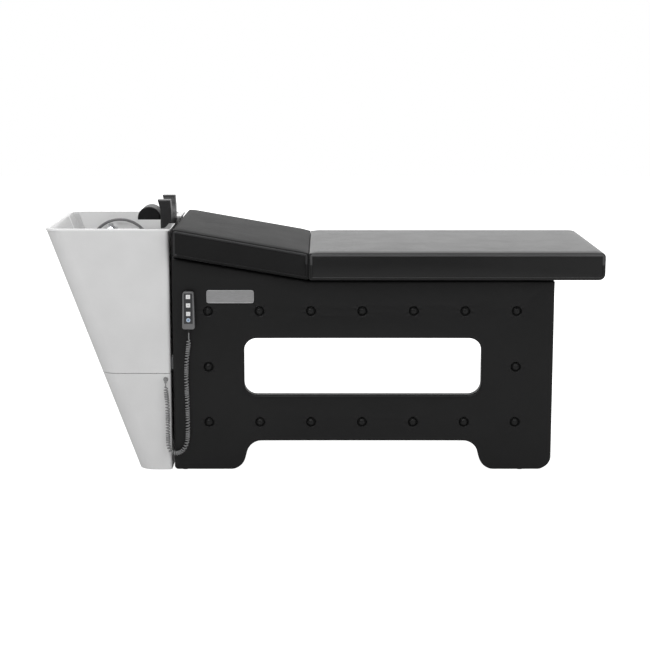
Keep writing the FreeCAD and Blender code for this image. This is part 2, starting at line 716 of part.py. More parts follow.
def pedestal_prism(name, low, high, inset, end="casing_end", near=None, far=None, corners=()):
    """The pedestal's leaning outline between two heights, drawn in by an inset."""
    near = near or "-(basin_width / 2 - (%s))" % inset
    far = far or "basin_width / 2 - (%s)" % inset
    slant = "head_x + (rim_height - (%s)) * lean + (%s) / lean_cos"
    points = [(slant % (low, inset), low), ("%s - (%s)" % (end, inset), low),
              ("%s - (%s)" % (end, inset), high), (slant % (high, inset), high)]
    body = prism(name, "XZ", points, near, "(%s) - (%s)" % (far, near))
    middle = measure("(%s + %s) / 2" % (slant % (low, inset), end))
    for index, (radius, outer) in enumerate(corners):
        round_edges(body, "%s_corners_%d" % (name, index), radius, lambda edge: (
            len(edge.Vertexes) == 2 and abs(edge.Vertexes[0].Z - edge.Vertexes[1].Z) > TOLERANCE
            and abs(edge.Vertexes[0].Y - edge.Vertexes[1].Y) < TOLERANCE
            and (edge.CenterOfMass.x < middle) == outer))
    return body


def casing(name, low, high):
    """A thin casing, open above and below."""
    corners = (("outer_corner_radius", True), ("neck_corner_radius", False))
    inner = (("outer_corner_radius - casing_wall", True), ("neck_corner_radius - casing_wall", False))
    outside = pedestal_prism(name + "_outside", low, high, "0", corners=corners)
    inside = pedestal_prism(name + "_inside", "(%s) - overrun" % low, "(%s) + overrun" % high,
                            "casing_wall", corners=inner)
    return cut(name + "_shell", outside, [inside])


def neck_notch(name):
    """The cut through both walls where the neck rest sits."""
    return block(name, ("casing_end - cavity_inset - overrun", "-notch_width / 2", "notch_z"),
                 ("cavity_inset + lip_reach + 2 * overrun", "notch_width", "notch_depth + overrun"))


def upper_casing():
    shell = casing("upper_casing", "casing_joint + joint_gap", "flange_z")
    node("upper_casing", cut("upper_casing_cut", shell, [neck_notch("upper_casing_notch")]))


def lower_casing():
    shell = casing("lower_casing", "floor_gap", "casing_joint")
    hole = rod("lower_casing_hole", "Y", ("cord_gland_x", "-basin_width / 2 - overrun", "cord_gland_height"),
               "casing_wall + 2 * overrun", "wire_radius + hole_play")
    node("lower_casing", cut("lower_casing_cut", shell, [hole]))


def basin_bowl():
    """The bowl with its rim, deep basin and the mixer's ledge."""
    corners = rectangle("head_x", "-basin_width / 2", "rim_end", "basin_width / 2")
    rim = prism("bowl_rim", "XY", corners, "flange_z", "lip_thickness")
    round_edges(rim, "bowl_rim_outer", "outer_corner_radius", across_plane("XY", [corners[0], corners[3]]))
    round_edges(rim, "bowl_rim_neck", "neck_corner_radius", across_plane("XY", corners[1:3]))
    round_edges(rim, "bowl_rim_edge", "lip_thickness / 3", on_level("z", "rim_height"))
    tub_corners = (("outer_corner_radius - bowl_inset", True), ("neck_corner_radius - bowl_inset", False))
    tub = pedestal_prism("bowl_tub", "bowl_bottom", "flange_z", "bowl_inset", corners=tub_corners)
    solid = union("bowl_solid", [rim, tub])
    round_all = (("bowl_corner_radius", True), ("bowl_corner_radius", False))
    deep = pedestal_prism("bowl_deep", "basin_floor", "rim_height + overrun", "cavity_inset",
                          far="ledge_y", corners=round_all)
    round_edges(deep, "bowl_deep_floor", "bowl_floor_radius", on_level("z", "basin_floor"))
    shelf = pedestal_prism("bowl_shelf", "ledge_z", "rim_height + overrun", "cavity_inset",
                           near="ledge_y - bowl_corner_radius",
                           corners=(("ledge_corner_radius", True), ("ledge_corner_radius", False)))
    below = pedestal_prism("bowl_below_ledge", "bowl_bottom - overrun", "ledge_bottom",
                           "bowl_inset - overrun", near="ledge_y + bowl_wall")
    drain = rod("bowl_drain", "Z", ("drain_x", "drain_y", "bowl_bottom - overrun"),
                "bowl_floor + 2 * overrun", "drain_radius")
    shank = rod("bowl_mixer_hole", "Z", ("mixer_x", "mixer_offset", "ledge_bottom - overrun"),
                "bowl_floor + 2 * overrun", "mixer_shank_radius + hole_play")
    hose = rod("bowl_hose_hole", "Z", ("gland_x", "hose_offset", "ledge_bottom - overrun"),
               "bowl_floor + 2 * overrun", "hose_radius + hole_play")
    node("basin_bowl", cut("basin_bowl_cut", solid,
                           [deep, shelf, below, neck_notch("bowl_notch"), drain, shank, hose]))


def drain():
    """Flange with its tube, and the strainer that lifts out of it."""
    tube_radius = "drain_radius - hole_play"
    flange = rod("drain_plate", "Z", ("drain_x", "drain_y", "basin_floor"),
                 "drain_flange_thickness", "drain_flange_radius")
    sleeve = rod("drain_sleeve", "Z", ("drain_x", "drain_y", "basin_floor - drain_tube_length"),
                 "drain_tube_length + drain_flange_thickness", tube_radius)
    bore = rod("drain_bore", "Z", ("drain_x", "drain_y", "basin_floor - drain_tube_length - overrun"),
               "drain_tube_length + drain_flange_thickness + 2 * overrun", tube_radius + " - drain_tube_wall")
    node("drain_flange", cut("drain_flange_cut", union("drain_flange_solid", [flange, sleeve]), [bore]))
    cap_z = "basin_floor + drain_flange_thickness + seat_play"
    cap = rod("strainer_cap_disc", "Z", ("drain_x", "drain_y", cap_z), "strainer_cap", "drain_radius")
    basket = rod("strainer_basket", "Z", ("drain_x", "drain_y", cap_z + " - strainer_depth"),
                 "strainer_depth", tube_radius + " - drain_tube_wall - fit_play")
    slots = []
    for index in range(-1, 2):
        corner = ("drain_x - drain_radius / 2",
                  "drain_y - strainer_slot / 2 + %d * 2 * strainer_slot" % index,
                  cap_z + " - strainer_depth - overrun")
        slots.append(block("strainer_slot_%d" % (index + 1), corner,
                           ("drain_radius", "strainer_slot", "strainer_depth + strainer_cap + 2 * overrun")))
    node("drain_strainer", cut("drain_strainer_cut", union("strainer_solid", [cap, basket]), slots))


def trap():
    """Bottle trap under the drain, and the pipe down to the floor."""
    tail = rod("trap_tail", "Z", ("drain_x", "drain_y", "trap_top"), "trap_tail_length", "drain_radius")
    bottle = rod("trap_bottle", "Z", ("drain_x", "drain_y", "trap_bottom"), "trap_height", "trap_radius")
    outlet = rod("trap_outlet", "X", ("drain_x", "drain_y", "trap_top - waste_radius - waste_wall"),
                 "waste_x - drain_x - waste_radius + waste_wall", "waste_radius - waste_wall")
    siphon = union("drain_trap_solid", [tail, bottle, outlet])
    top = "trap_top + waste_wall"
    pipe = rod("waste_outside", "Z", ("waste_x", "drain_y", "waste_clearance"), top + " - waste_clearance",
               "waste_radius")
    bore = rod("waste_bore", "Z", ("waste_x", "drain_y", "waste_clearance - overrun"),
               top + " - waste_clearance - waste_wall", "waste_radius - waste_wall")
    seat = rod("waste_seat", "X", ("waste_x - waste_radius - overrun", "drain_y",
                                   "trap_top - waste_radius - waste_wall"),
               "waste_radius + overrun", "waste_radius - waste_wall")
    node("drain_trap", group("drain_trap_group", [siphon, cut("waste_pipe", pipe, [bore, seat])]))


def supply_hoses():
    """Hot and cold hoses from the mixer's shank down to the floor, with union nuts."""
    hoses = []
    top = measure("ledge_bottom - mixer_flange_height")
    bottom = measure("supply_nut_height + supply_nut_length")
    landing = measure("waste_x")
    for index, side in enumerate((-1, 1)):
        start = measure("mixer_x") + side * measure("supply_spacing") / 2
        end = landing + side * measure("supply_nut_radius * 5 / 4")
        across = measure("mixer_offset")
        points = [Vector(start + (end - start) * share, across, top * height_share)
                  for share, height_share in SUPPLY_ROUTE_SHARES]
        points.append(Vector(end, across, bottom))
        hose = tube("supply_hose_%d" % index, points, measure("supply_radius"))
        along = "waste_x + %d * supply_nut_radius * 5 / 4" % side
        nut = rod("supply_nut_outside_%d" % index, "Z", (along, "mixer_offset", "supply_nut_height"),
                  "supply_nut_length", "supply_nut_radius")
        thread = rod("supply_nut_thread_%d" % index, "Z",
                     (along, "mixer_offset", "supply_nut_height - overrun"), "supply_nut_depth + overrun",
                     "supply_thread_radius")
        nut = cut("supply_nut_%d" % index, nut, [thread])
        hoses += [hose, nut]
    node("supply_hoses", group("supply_hoses_group", hoses))


def pedestal_frame():
    """Steel base plate with two uprights, each with an arm under the bowl."""
    corner = "casing_end - casing_wall"
    start = "head_x + (rim_height - plate_z) * lean + casing_wall / lean_cos + plate_gap"
    plate = block("pedestal_plate_block", (start, "-(post_spacing + post_width) / 2", "plate_z"),
                  (corner + " - (" + start + ")", "post_spacing + post_width", "plate_thickness"))
    holes = [rod("pedestal_waste_hole", "Z", ("waste_x", "drain_y", "plate_z - overrun"),
                 "plate_thickness + 2 * overrun", "waste_radius + plate_gap")]
    for index, (along, across) in enumerate(pedestal_feet_spots()):
        holes.append(rod("pedestal_foot_hole_%d" % index, "Z", (along, across, "plate_z - overrun"),
                         "plate_thickness + 2 * overrun", "foot_stem_radius + hole_play"))
    frames = [cut("pedestal_base_plate", plate, holes)]
    top = "bowl_bottom - arm_thickness"
    for index, side in enumerate((-1, 1)):
        across = "%d * post_spacing / 2 - post_width / 2" % side
        along = "casing_end - casing_wall - post_width - bowl_play"
        post = block("pedestal_post_%d" % index, (along, across, "plate_z + plate_thickness"),
                     ("post_width", "post_width", top + " - plate_z - plate_thickness"))
        arm = block("pedestal_arm_%d" % index, (along + " - arm_length + post_width", across, top),
                    ("arm_length", "post_width", "arm_thickness"))
        frames.append(union("pedestal_upright_%d" % index, [post, arm]))
    node("pedestal_frame", group("pedestal_frame_group", frames))


def pedestal_feet_spots():
    """Places of the levelling feet under the pedestal."""
    return [("casing_end - casing_wall - " + inset, side + "(post_spacing / 2 - post_width * 3 / 2)")
            for inset in ("foot_radius * 5 / 4", "foot_radius * 7") for side in ("-", "")]


def link_brackets():
    """Light brackets that tie the pedestal to the base across the gap."""
    pieces = []
    for index, side in enumerate(("-inner_y", "inner_y - link_width")):
        pieces.append(block("link_bracket_%d" % index, ("casing_end", side, "link_height"),
                            ("cross_head_x - casing_end", "link_width", "link_size")))
    node("link_brackets", group("link_brackets_group", pieces))


# Mixer, hose and hand shower

def mixer():
    centre = ("mixer_x", "mixer_offset", "ledge_z")
    foot = rod("mixer_foot", "Z", centre, "mixer_flange_height", "mixer_flange_radius")
    barrel = rod("mixer_barrel", "Z", centre, "mixer_flange_height + mixer_height", "mixer_radius")
    shank = rod("mixer_shank", "Z", ("mixer_x", "mixer_offset", "ledge_bottom - mixer_flange_height"),
                "ledge_z - ledge_bottom + mixer_flange_height", "mixer_shank_radius")
    node("mixer_body", union("mixer_body_solid", [foot, barrel, shank]))
    flank = "mixer_cap_height - mixer_crown_height"
    cap = rod("mixer_cap_side", "Z", ("mixer_x", "mixer_offset", "cap_z"), flank, "mixer_cap_radius")
    crown = taper("mixer_cap_top", "Z", ("mixer_x", "mixer_offset", "cap_z + " + flank),
                  "mixer_crown_height", "mixer_cap_radius", "mixer_crown_radius")
    node("mixer_cap", union("mixer_cap_solid", [cap, crown]))
    points = [("mixer_x - lever_hub", "lever_z"),
              ("mixer_x + mixer_crown_radius", "lever_z"),
              ("mixer_x + lever_length", "lever_z - lever_drop"),
              ("mixer_x + lever_length", "lever_z - lever_drop + lever_tip"),
              ("mixer_x + mixer_crown_radius", "lever_z + lever_height"),
              ("mixer_x - lever_hub", "lever_z + lever_height")]
    lever = prism("mixer_lever_body", "XZ", points, "mixer_offset - lever_width / 2", "lever_width")
    round_edges(lever, "mixer_lever_round", "lever_height / 3", across_plane("XZ", points[-2:-1]))
    hub = rod("mixer_lever_hub", "Y", ("mixer_x - lever_hub", "mixer_offset - lever_width / 2",
                                       "lever_z + lever_height / 2"), "lever_width", "lever_height / 2")
    node("mixer_lever", union("mixer_lever_solid", [lever, hub]))


def shower():
    """Gland, hose, hand shower and its cradle on the ledge."""
    disc = rod("hose_disc", "Z", ("gland_x", "hose_offset", "ledge_z"), "gland_height", "gland_radius")
    shank = rod("hose_shank", "Z", ("gland_x", "hose_offset", "ledge_bottom - gland_nut"),
                "ledge_z - ledge_bottom + gland_nut", "hose_radius")
    nut = rod("hose_nut", "Z", ("gland_x", "hose_offset", "ledge_bottom - gland_nut / 2"), "gland_nut / 2",
              "gland_sleeve + hose_radius / 2")
    sleeve = rod("hose_sleeve", "Z", ("head_x + hose_start", "hose_offset", "ledge_z + gland_rise"),
                 "gland_rise / cos(gland_lean)", "gland_sleeve")
    sleeve.Placement = FreeCAD.Placement(Vector(), FreeCAD.Rotation(Vector(0, 1, 0), 180))
    bind(sleeve, Placement__Rotation__Angle="180 deg + gland_lean * 1 deg")
    place(sleeve, ("head_x + hose_start", "hose_offset", "ledge_z + gland_rise"))
    under = block("hose_sleeve_under", ("gland_x - 2 * gland_radius", "hose_offset - 2 * gland_radius",
                                        "ledge_z - gland_radius"),
                  ("4 * gland_radius", "4 * gland_radius", "gland_radius"))
    trimmed = cut("hose_sleeve_trimmed", sleeve, [under])
    node("hose_gland", union("hose_gland_solid", [disc, shank, nut, trimmed]))
    across = measure("hose_offset")
    corner, level = measure("head_x"), measure("ledge_z")
    route = [Vector(corner + along, across, level + up) for along, up in HOSE_ROUTE]
    node("shower_hose", tube("shower_hose_tube", route, measure("hose_radius")))
    handle = rod("shower_handle", "X", ("handle_x", "hose_offset", "handle_z"),
                 "handle_length + spray_radius / 2",
                 "handle_radius")
    head = rod("shower_head", "Z", ("spray_x", "hose_offset", "ledge_z + seat_play + spray_face_height"),
               "spray_height", "spray_radius")
    node("hand_shower", union("hand_shower_solid", [handle, head]))
    node("spray_face", rod("spray_disc", "Z", ("spray_x", "hose_offset", "ledge_z + seat_play"),
                           "spray_face_height", "spray_face_radius"))
    stand = block("cradle_block", ("handle_x + handle_length / 4", "hose_offset - cradle_width / 2",
                                   "ledge_z"),
                  ("cradle_length", "cradle_width", "handle_rise"))
    groove = rod("cradle_groove", "X", ("handle_x + handle_length / 4 - overrun", "hose_offset", "handle_z"),
                 "cradle_length + 2 * overrun", "handle_radius + seat_play")
    node("shower_cradle", cut("shower_cradle_cut", stand, [groove]))


# Neck rest and head support

def neck_parts():
    """Neck rest on its clip, and the head support on a plate between them."""
    front = "neck_x - neck_flare"
    points = [("neck_x", "neck_z"), ("neck_x + neck_length", "neck_z"),
              ("neck_x + neck_length", "neck_top - neck_flare_height"),
              ("neck_x + neck_length - neck_flare / 4", "neck_top"),
              (front, "neck_top"), ("neck_x", "neck_top - neck_flare_height")]
    saddle = prism("neck_rest_body", "XZ", points, "-neck_width / 2", "neck_width")
    hollow = rod("neck_hollow_round", "X", (front + " - overrun", "0",
                                            "neck_top - neck_hollow_depth + neck_hollow_radius"),
                 "neck_length + neck_flare + 2 * overrun", "neck_hollow_radius")
    mouth = block("neck_hollow_mouth",
                  (front + " - overrun", "-neck_hollow_radius",
                   "neck_top - neck_hollow_depth + neck_hollow_radius"),
                  ("neck_length + neck_flare + 2 * overrun", "2 * neck_hollow_radius", "neck_hollow_depth"))
    tongue = block("head_tongue", ("neck_x - tongue_length + tongue_grip", "-tongue_width / 2",
                                   "head_height + tongue_rise"),
                   ("tongue_length", "tongue_width", "tongue_thickness"))
    round_edges(saddle, "neck_rest_round", "neck_edge_radius", lambda edge: (
        edge.CenterOfMass.z > measure("neck_z") + TOLERANCE
        and abs(abs(edge.CenterOfMass.y) - measure("neck_width / 2")) < TOLERANCE))
    node("neck_rest", cut("neck_rest_cut", saddle, [hollow, mouth, tongue]))
    node("head_support_plate", tongue)
    top = block("clip_top", ("neck_x", "-clip_width / 2", "clip_z"),
                ("neck_reach + fit_play + clip_thickness", "clip_width", "clip_thickness"))
    outer_leg = block("clip_outer_leg", ("casing_end + fit_play", "-clip_width / 2", "clip_z - clip_leg"),
                      ("clip_thickness", "clip_width", "clip_leg + clip_thickness"))
    inner_leg = block("clip_inner_leg", ("casing_end - cavity_inset - fit_play - clip_thickness",
                                         "-clip_width / 2",
                                         "clip_z - clip_leg"),
                      ("clip_thickness", "clip_width", "clip_leg + clip_thickness"))
    node("neck_rest_clip", union("neck_rest_clip_solid", [top, outer_leg, inner_leg]))
    round_top = rod("head_round", "Y", ("head_end - head_radius", "-head_width / 2",
                                        "head_height + head_base"), "head_width", "head_radius")
    flat = block("head_flat", ("head_end - 2 * head_radius", "-head_width / 2", "head_height"),
                 ("2 * head_radius", "head_width", "head_base + head_radius + overrun"))
    dome = doc.addObject("Part::Common", "head_dome")
    dome.Base = round_top
    dome.Tool = flat
    doc.recompute()
    edges = [number for number, edge in enumerate(dome.Shape.Edges, 1)
             if abs(abs(edge.CenterOfMass.y) - measure("head_width / 2")) < TOLERANCE
             and edge.BoundBox.ZMax > measure("head_height") + TOLERANCE]
    soft = doc.addObject("Part::Fillet", "head_soft")
    soft.Base = dome
    soft.Edges = [(number, measure("head_edge_radius"), measure("head_edge_radius")) for number in edges]
    node("head_support", cut("head_support_cut", soft, [tongue]))


# Base of the couch

def panel_top():
    """Upper edge of both side panels, from the far end to the basin."""
    return [("panel_end", "panel_height"), ("seam_x", "panel_height"),
            ("panel_start", "panel_height + panel_rise")]


def near_panel(name, start, depth):
    """Near side: a long window above a low cut-out."""
    head_toe, foot_toe = ("head_toe_x", "floor_gap"), ("foot_toe_x", "floor_gap")
    tops = [("head_toe_x + toe_lean", "cutout_height"), ("foot_toe_x - toe_lean", "cutout_height")]
    points = [("panel_start", "floor_gap"), head_toe, tops[0], tops[1], foot_toe,
              ("panel_end", "floor_gap")] + panel_top()
    body = prism(name, "XZ", points, start, depth)
    window = rectangle("window_x", "window_sill", "window_x + window_length", "window_top")
    pocket(body, name + "_window", "XZ", window, "(%s) - overrun" % start, "(%s) + 2 * overrun" % depth)
    round_edges(body, name + "_window_corners", "window_radius", across_plane("XZ", window))
    round_edges(body, name + "_cutout_corners", "cutout_radius", across_plane("XZ", tops))
    round_edges(body, name + "_toes", "toe_radius", across_plane("XZ", [head_toe, foot_toe]))
    round_edges(body, name + "_head_toe", "head_toe_radius", across_plane("XZ", points[:1]))
    round_edges(body, name + "_foot_toe", "foot_toe_radius", across_plane("XZ", points[5:6]))
    return body


def far_panel(name, start, depth):
    """Far side: two columns under a top rail."""
    arch = [("arch_start", "window_top"), ("arch_end", "window_top")]
    toes = [("arch_start", "floor_gap"), ("arch_end", "floor_gap")]
    points = [("panel_start", "floor_gap"), toes[0], arch[0], arch[1], toes[1],
              ("panel_end", "floor_gap")] + panel_top()
    body = prism(name, "XZ", points, start, depth)
    round_edges(body, name + "_arch", "arch_radius", across_plane("XZ", arch))
    round_edges(body, name + "_toes", "toe_radius", across_plane("XZ", toes))
    round_edges(body, name + "_head_toe", "head_toe_radius", across_plane("XZ", points[:1]))
    round_edges(body, name + "_foot_toe", "foot_toe_radius", across_plane("XZ", points[5:6]))
    return body


def button_spots():
    """Upholstery buttons: a full row above and below, and the row ends between them."""
    spots = []
    for index in range(BUTTON_COUNT):
        along = "button_x + %d * button_pitch" % index
        spots.append((along, "button_top_z"))
        spots.append((along, "button_low_z"))
        if index in (0, BUTTON_COUNT - 1):
            spots.append((along, "(button_top_z + button_low_z) / 2"))
    return spots


def far_button_spots():
    """The far side keeps the buttons that lie on its rail and columns."""
    low = measure("window_top")
    start, end = measure("arch_start"), measure("arch_end")
    return [spot for spot in button_spots()
            if measure(spot[1]) > low or not start < measure(spot[0]) < end]


def bolt_spots():
    """Frame bolts along the rails."""
    return [("rail_start + rail_length * %g" % share, "rail_z + rail_size / 2")
            for share in FRAME_BOLT_SHARES]


def side_foot_spots():
    """Levelling feet under a side board."""
    return ["panel_start + head_foot_inset", "panel_end - foot_foot_inset"]


def board_holes(name, near):
    """Bolt holes and stem holes of a side board."""
    low = "-board_y" if near else "inner_y"
    holes = [rod("%s_bolt_hole_%d" % (name, index), "Y", (along, low + " - overrun", up),
                 "board_thickness + 2 * overrun", "bolt_radius + hole_play")
             for index, (along, up) in enumerate(bolt_spots())]
    for index, along in enumerate(side_foot_spots()):
        holes.append(rod("%s_stem_hole_%d" % (name, index), "Z",
                         (along, low + " + board_thickness / 2", "floor_gap - overrun"),
                         "foot_stem_length + 2 * overrun", "foot_stem_radius + hole_play"))
    return holes


def button_and_dimple(tag, near, along, up):
    """The cut in a pad for one button, and the button with its bevelled front."""
    if near:
        dimple = taper("dimple_" + tag, "Y", (along, "-side_y", up), "dimple_depth",
                       "dimple_radius", "dimple_floor_radius")
        back = "-side_y + dimple_depth - button_height"
        crown = taper("button_crown_" + tag, "Y", (along, back + " - button_crown", up), "button_crown",
                      "button_radius * 2 / 3", "button_radius")
    else:
        dimple = taper("dimple_" + tag, "Y", (along, "side_y - dimple_depth", up), "dimple_depth",
                       "dimple_floor_radius", "dimple_radius")
        back = "side_y - dimple_depth"
        crown = taper("button_crown_" + tag, "Y", (along, back + " + button_height", up), "button_crown",
                      "button_radius", "button_radius * 2 / 3")
    barrel = rod("button_barrel_" + tag, "Y", (along, back, up), "button_height", "button_radius")
    return dimple, union("button_" + tag, [barrel, crown])


def side_panels():
    """Boards, upholstery pads and upholstery buttons of both sides."""
    near_board = near_panel("near_board", "-board_y", "board_thickness")
    node("near_side_board", cut("near_board_cut", near_board, board_holes("near_board", True)))
    far_board = far_panel("far_board", "inner_y", "board_thickness")
    node("far_side_board", cut("far_board_cut", far_board, board_holes("far_board", False)))
    near_pad = near_panel("near_pad", "-side_y", "pad_thickness")
    round_edges(near_pad, "near_pad_edge", "pad_edge_radius", on_level("y", "-side_y"))
    far_pad = far_panel("far_pad", "board_y", "pad_thickness")
    round_edges(far_pad, "far_pad_edge", "pad_edge_radius", on_level("y", "side_y"))
    buttons = []
    sides = (("near", near_pad, button_spots()), ("far", far_pad, far_button_spots()))
    for side, pad, spots in sides:
        dimples = []
        for index, (along, up) in enumerate(spots):
            tag = "%s_%d" % (side, index)
            dimple, button = button_and_dimple(tag, side == "near", along, up)
            dimples.append(dimple)
            buttons.append(button)
        node(side + "_side_pad", cut(side + "_pad_cut", pad, dimples))
    node("panel_buttons", group("panel_buttons_group", buttons))


def cross_panels():
    """Plywood panels that join the sides at both ends."""
    head = block("cross_panel_head", ("cross_head_x", "-inner_y", "cross_rise"),
                 ("board_thickness", "2 * inner_y", "stop_z - stop_height - cross_rise"))
    foot = block("cross_panel_foot", ("cross_foot_x", "-inner_y", "cross_rise"),
                 ("board_thickness", "2 * inner_y", "seat_base - cross_rise"))
    node("cross_panels", group("cross_panels_group", [head, foot]))


def square_tube(name, axis, start, length):
    """A square steel tube along X or Y, from its lowest corner."""
    sizes = {"X": (length, "rail_size", "rail_size"), "Y": ("rail_size", length, "rail_size")}[axis]
    inner = "rail_size - 2 * rail_wall"
    hollow = {"X": (length + " + 2 * overrun", inner, inner),
              "Y": (inner, length + " + 2 * overrun", inner)}[axis]
    shifts = {"X": ("- overrun", "+ rail_wall", "+ rail_wall"),
              "Y": ("+ rail_wall", "- overrun", "+ rail_wall")}[axis]
    bore_start = tuple("%s %s" % (text, shift) for text, shift in zip(start, shifts))
    return cut(name, block(name + "_outside", start, sizes), [block(name + "_bore", bore_start, hollow)])


def base_frame():
    """Side rails, cross tubes and their bolts."""
    rails, bolts = [], []
    for side, low in (("near", "-inner_y"), ("far", "rail_y")):
        rail = square_tube(side + "_rail_tube", "X", ("rail_start", low, "rail_z"), "rail_length")
        holes = []
        for index, (along, up) in enumerate(bolt_spots()):
            holes.append(rod("%s_rail_hole_%d" % (side, index), "Y", (along, low + " - overrun", up),
                             "rail_size + 2 * overrun", "bolt_radius + hole_play"))
            if side == "near":
                shank_start, head_start = "-board_y", "-rail_y"
            else:
                shank_start, head_start = "rail_y", "rail_y - bolt_head_height"
            shank = rod("%s_bolt_shank_%d" % (side, index), "Y", (along, shank_start, up),
                        "rail_size + board_thickness", "bolt_radius")
            head = rod("%s_bolt_head_%d" % (side, index), "Y", (along, head_start, up), "bolt_head_height",
                       "bolt_head_radius")
            bolts.append(union("%s_bolt_%d" % (side, index), [shank, head]))
        rails.append(cut(side + "_rail", rail, holes))
    node("side_rails", group("side_rails_group", rails))
    node("frame_bolts", group("frame_bolts_group", bolts))
    tubes = [square_tube("cross_tube_%d" % index, "Y",
                         ("rail_start + (rail_length - rail_size) * %g" % share, "-rail_y", "rail_z"),
                         "2 * rail_y")
             for index, share in enumerate(CROSS_TUBE_SHARES)]
    tubes.append(square_tube("cross_tube_actuator", "Y", ("actuator_x - rail_size / 2", "-rail_y", "rail_z"),
                             "2 * rail_y"))
    node("cross_tubes", group("cross_tubes_group", tubes))


def levelling_feet():
    """Feet under both side boards and under the pedestal's plate."""
    feet = []
    middle = "inner_y + board_thickness / 2"
    spots = [(along, side + "(" + middle + ")", "floor_gap") for along in side_foot_spots()
             for side in ("-", "")]
    spots += [(along, across, "plate_z") for along, across in pedestal_feet_spots()]
    for index, (along, across, height) in enumerate(spots):
        disc = rod("foot_disc_%d" % index, "Z", (along, across, "0"), height, "foot_radius")
        stem = rod("foot_stem_%d" % index, "Z", (along, across, height), "foot_stem_length",
                   "foot_stem_radius")
        feet.append(union("foot_%d" % index, [disc, stem]))
    node("levelling_feet", group("levelling_feet_group", feet))


def backrest_stops():
    pieces = [block("stop_%d" % index, ("stop_x", "%s - stop_length / 2" % across, "stop_z - stop_height"),
                    ("stop_width", "stop_length", "stop_height"))
              for index, across in enumerate(("-stop_offset", "stop_offset"))]
    node("backrest_stops", group("backrest_stops_group", pieces))


# Cushions

def cushion_section(along, base, top, half_width, edge, crown, draw):
    """One closed section of a cushion: drawn-in sides, round edges and a crowned top."""
    lean = 2 * math.atan(crown / (half_width - edge))
    corner = half_width - edge
    brow = corner + edge * math.sin(lean)
    middle_z = top - edge * math.cos(lean) - brow * math.tan(lean / 2)
    height = middle_z - base
    side_radius = (height ** 2 + draw ** 2) / (2 * draw)
    side_turn = math.asin(height / side_radius) / 2
    foot = (half_width - draw, base)
    side = (half_width - side_radius * (1 - math.cos(side_turn)),
            middle_z - side_radius * math.sin(side_turn))
    shoulder = (half_width, middle_z)
    turn = (math.pi / 2 - lean) / 2
    bend = (corner + edge * math.cos(turn), middle_z + edge * math.sin(turn))
    crest = (brow, middle_z + edge * math.cos(lean))

    def spot(point, sign):
        return Vector(along, sign * point[0], point[1])

    edges = [
        Part.LineSegment(spot(foot, -1), spot(foot, 1)),
        Part.Arc(spot(foot, 1), spot(side, 1), spot(shoulder, 1)),
        Part.Arc(spot(shoulder, 1), spot(bend, 1), spot(crest, 1)),
        Part.Arc(spot(crest, 1), Vector(along, 0, top), spot(crest, -1)),
        Part.Arc(spot(crest, -1), spot(bend, -1), spot(shoulder, -1)),
        Part.Arc(spot(shoulder, -1), spot(side, -1), spot(foot, -1)),
    ]
    return Part.Wire([edge.toShape() for edge in edges])


def cushion(name, start, length, base, thickness, slope):
    """A stuffed cushion, crowned both ways; slope raises it towards its start."""
    half_width, edge = measure("cushion_width / 2"), measure("cushion_edge_radius")
    crown, draw = measure("cushion_crown"), measure("cushion_draw")
    sections = []
    for share in CUSHION_SHARES:
        along = start + length * share
        rise = slope * length * (1 - share)
        sink = crown / 2 * (2 * share - 1) ** 2
        sections.append(cushion_section(along, base + rise, base + rise + thickness - sink,
                                        half_width, edge, crown, draw))
    body = Part.makeLoft(sections, True, False)
    ends = []
    for edge_shape in body.Edges:
        points = edge_shape.discretize(3)
        for end in (start, start + length):
            at_end = all(abs(point.x - end) < TOLERANCE for point in points)
            if at_end and max(point.z for point in points) - min(point.z for point in points) > TOLERANCE:
                ends.append(edge_shape)
    feature = doc.addObject("Part::Feature", name)
    feature.Shape = body.makeFillet(measure("cushion_end_radius"), ends)
    return feature


def board_top_back(distance):
    """Height of the backrest board's upper face at a distance from the seam."""
    return "back_base + (%s) * back_slope + board_thickness" % distance


def hinge_pocket(name, base_z, side, across):
    """Room in a cushion for one hinge: an upright pocket and a low one for the foot."""
    reach = "leaf_gap + leaf_width + pocket_play"
    foot_reach = "leaf_gap + leaf_foot + pocket_play"
    depth = "2 * leaf_thickness + leaf_play + 2 * pin_proud + 2 * pocket_play"
    top = "pivot_z + knuckle_radius + pocket_play"
    foot_top = "leaf_foot_thickness + pocket_play"

    def along(distance):
        return "seam_x %s (%s)" % ("+" if side > 0 else "-", distance)

    upright = prism(name + "_upright", "XZ",
                    [(along("-overrun"), base_z("-overrun")), (along(reach), base_z(reach)),
                     (along(reach), top), (along("-overrun"), top)], across, depth)
    low = prism(name + "_low", "XZ",
                [(along("-overrun"), base_z("-overrun")), (along(foot_reach), base_z(foot_reach)),
                 (along(foot_reach), base_z(foot_reach) + " + " + foot_top),
                 (along("-overrun"), base_z("-overrun") + " + " + foot_top)], across, depth)
    return [upright, low]


def hinge_bands():
    """Start across the bed of each hinge's pocket, seat leaf and backrest leaf."""
    stack = "2 * leaf_thickness + leaf_play"
    margin = "pin_proud + pocket_play"
    return (
        ("near", "-hinge_offset - (%s) / 2 - (%s)" % (stack, margin),
         "-hinge_offset + leaf_play / 2", "-hinge_offset - leaf_play / 2 - leaf_thickness"),
        ("far", "hinge_offset - (%s) / 2 - (%s)" % (stack, margin),
         "hinge_offset - leaf_play / 2 - leaf_thickness", "hinge_offset + leaf_play / 2"),
    )


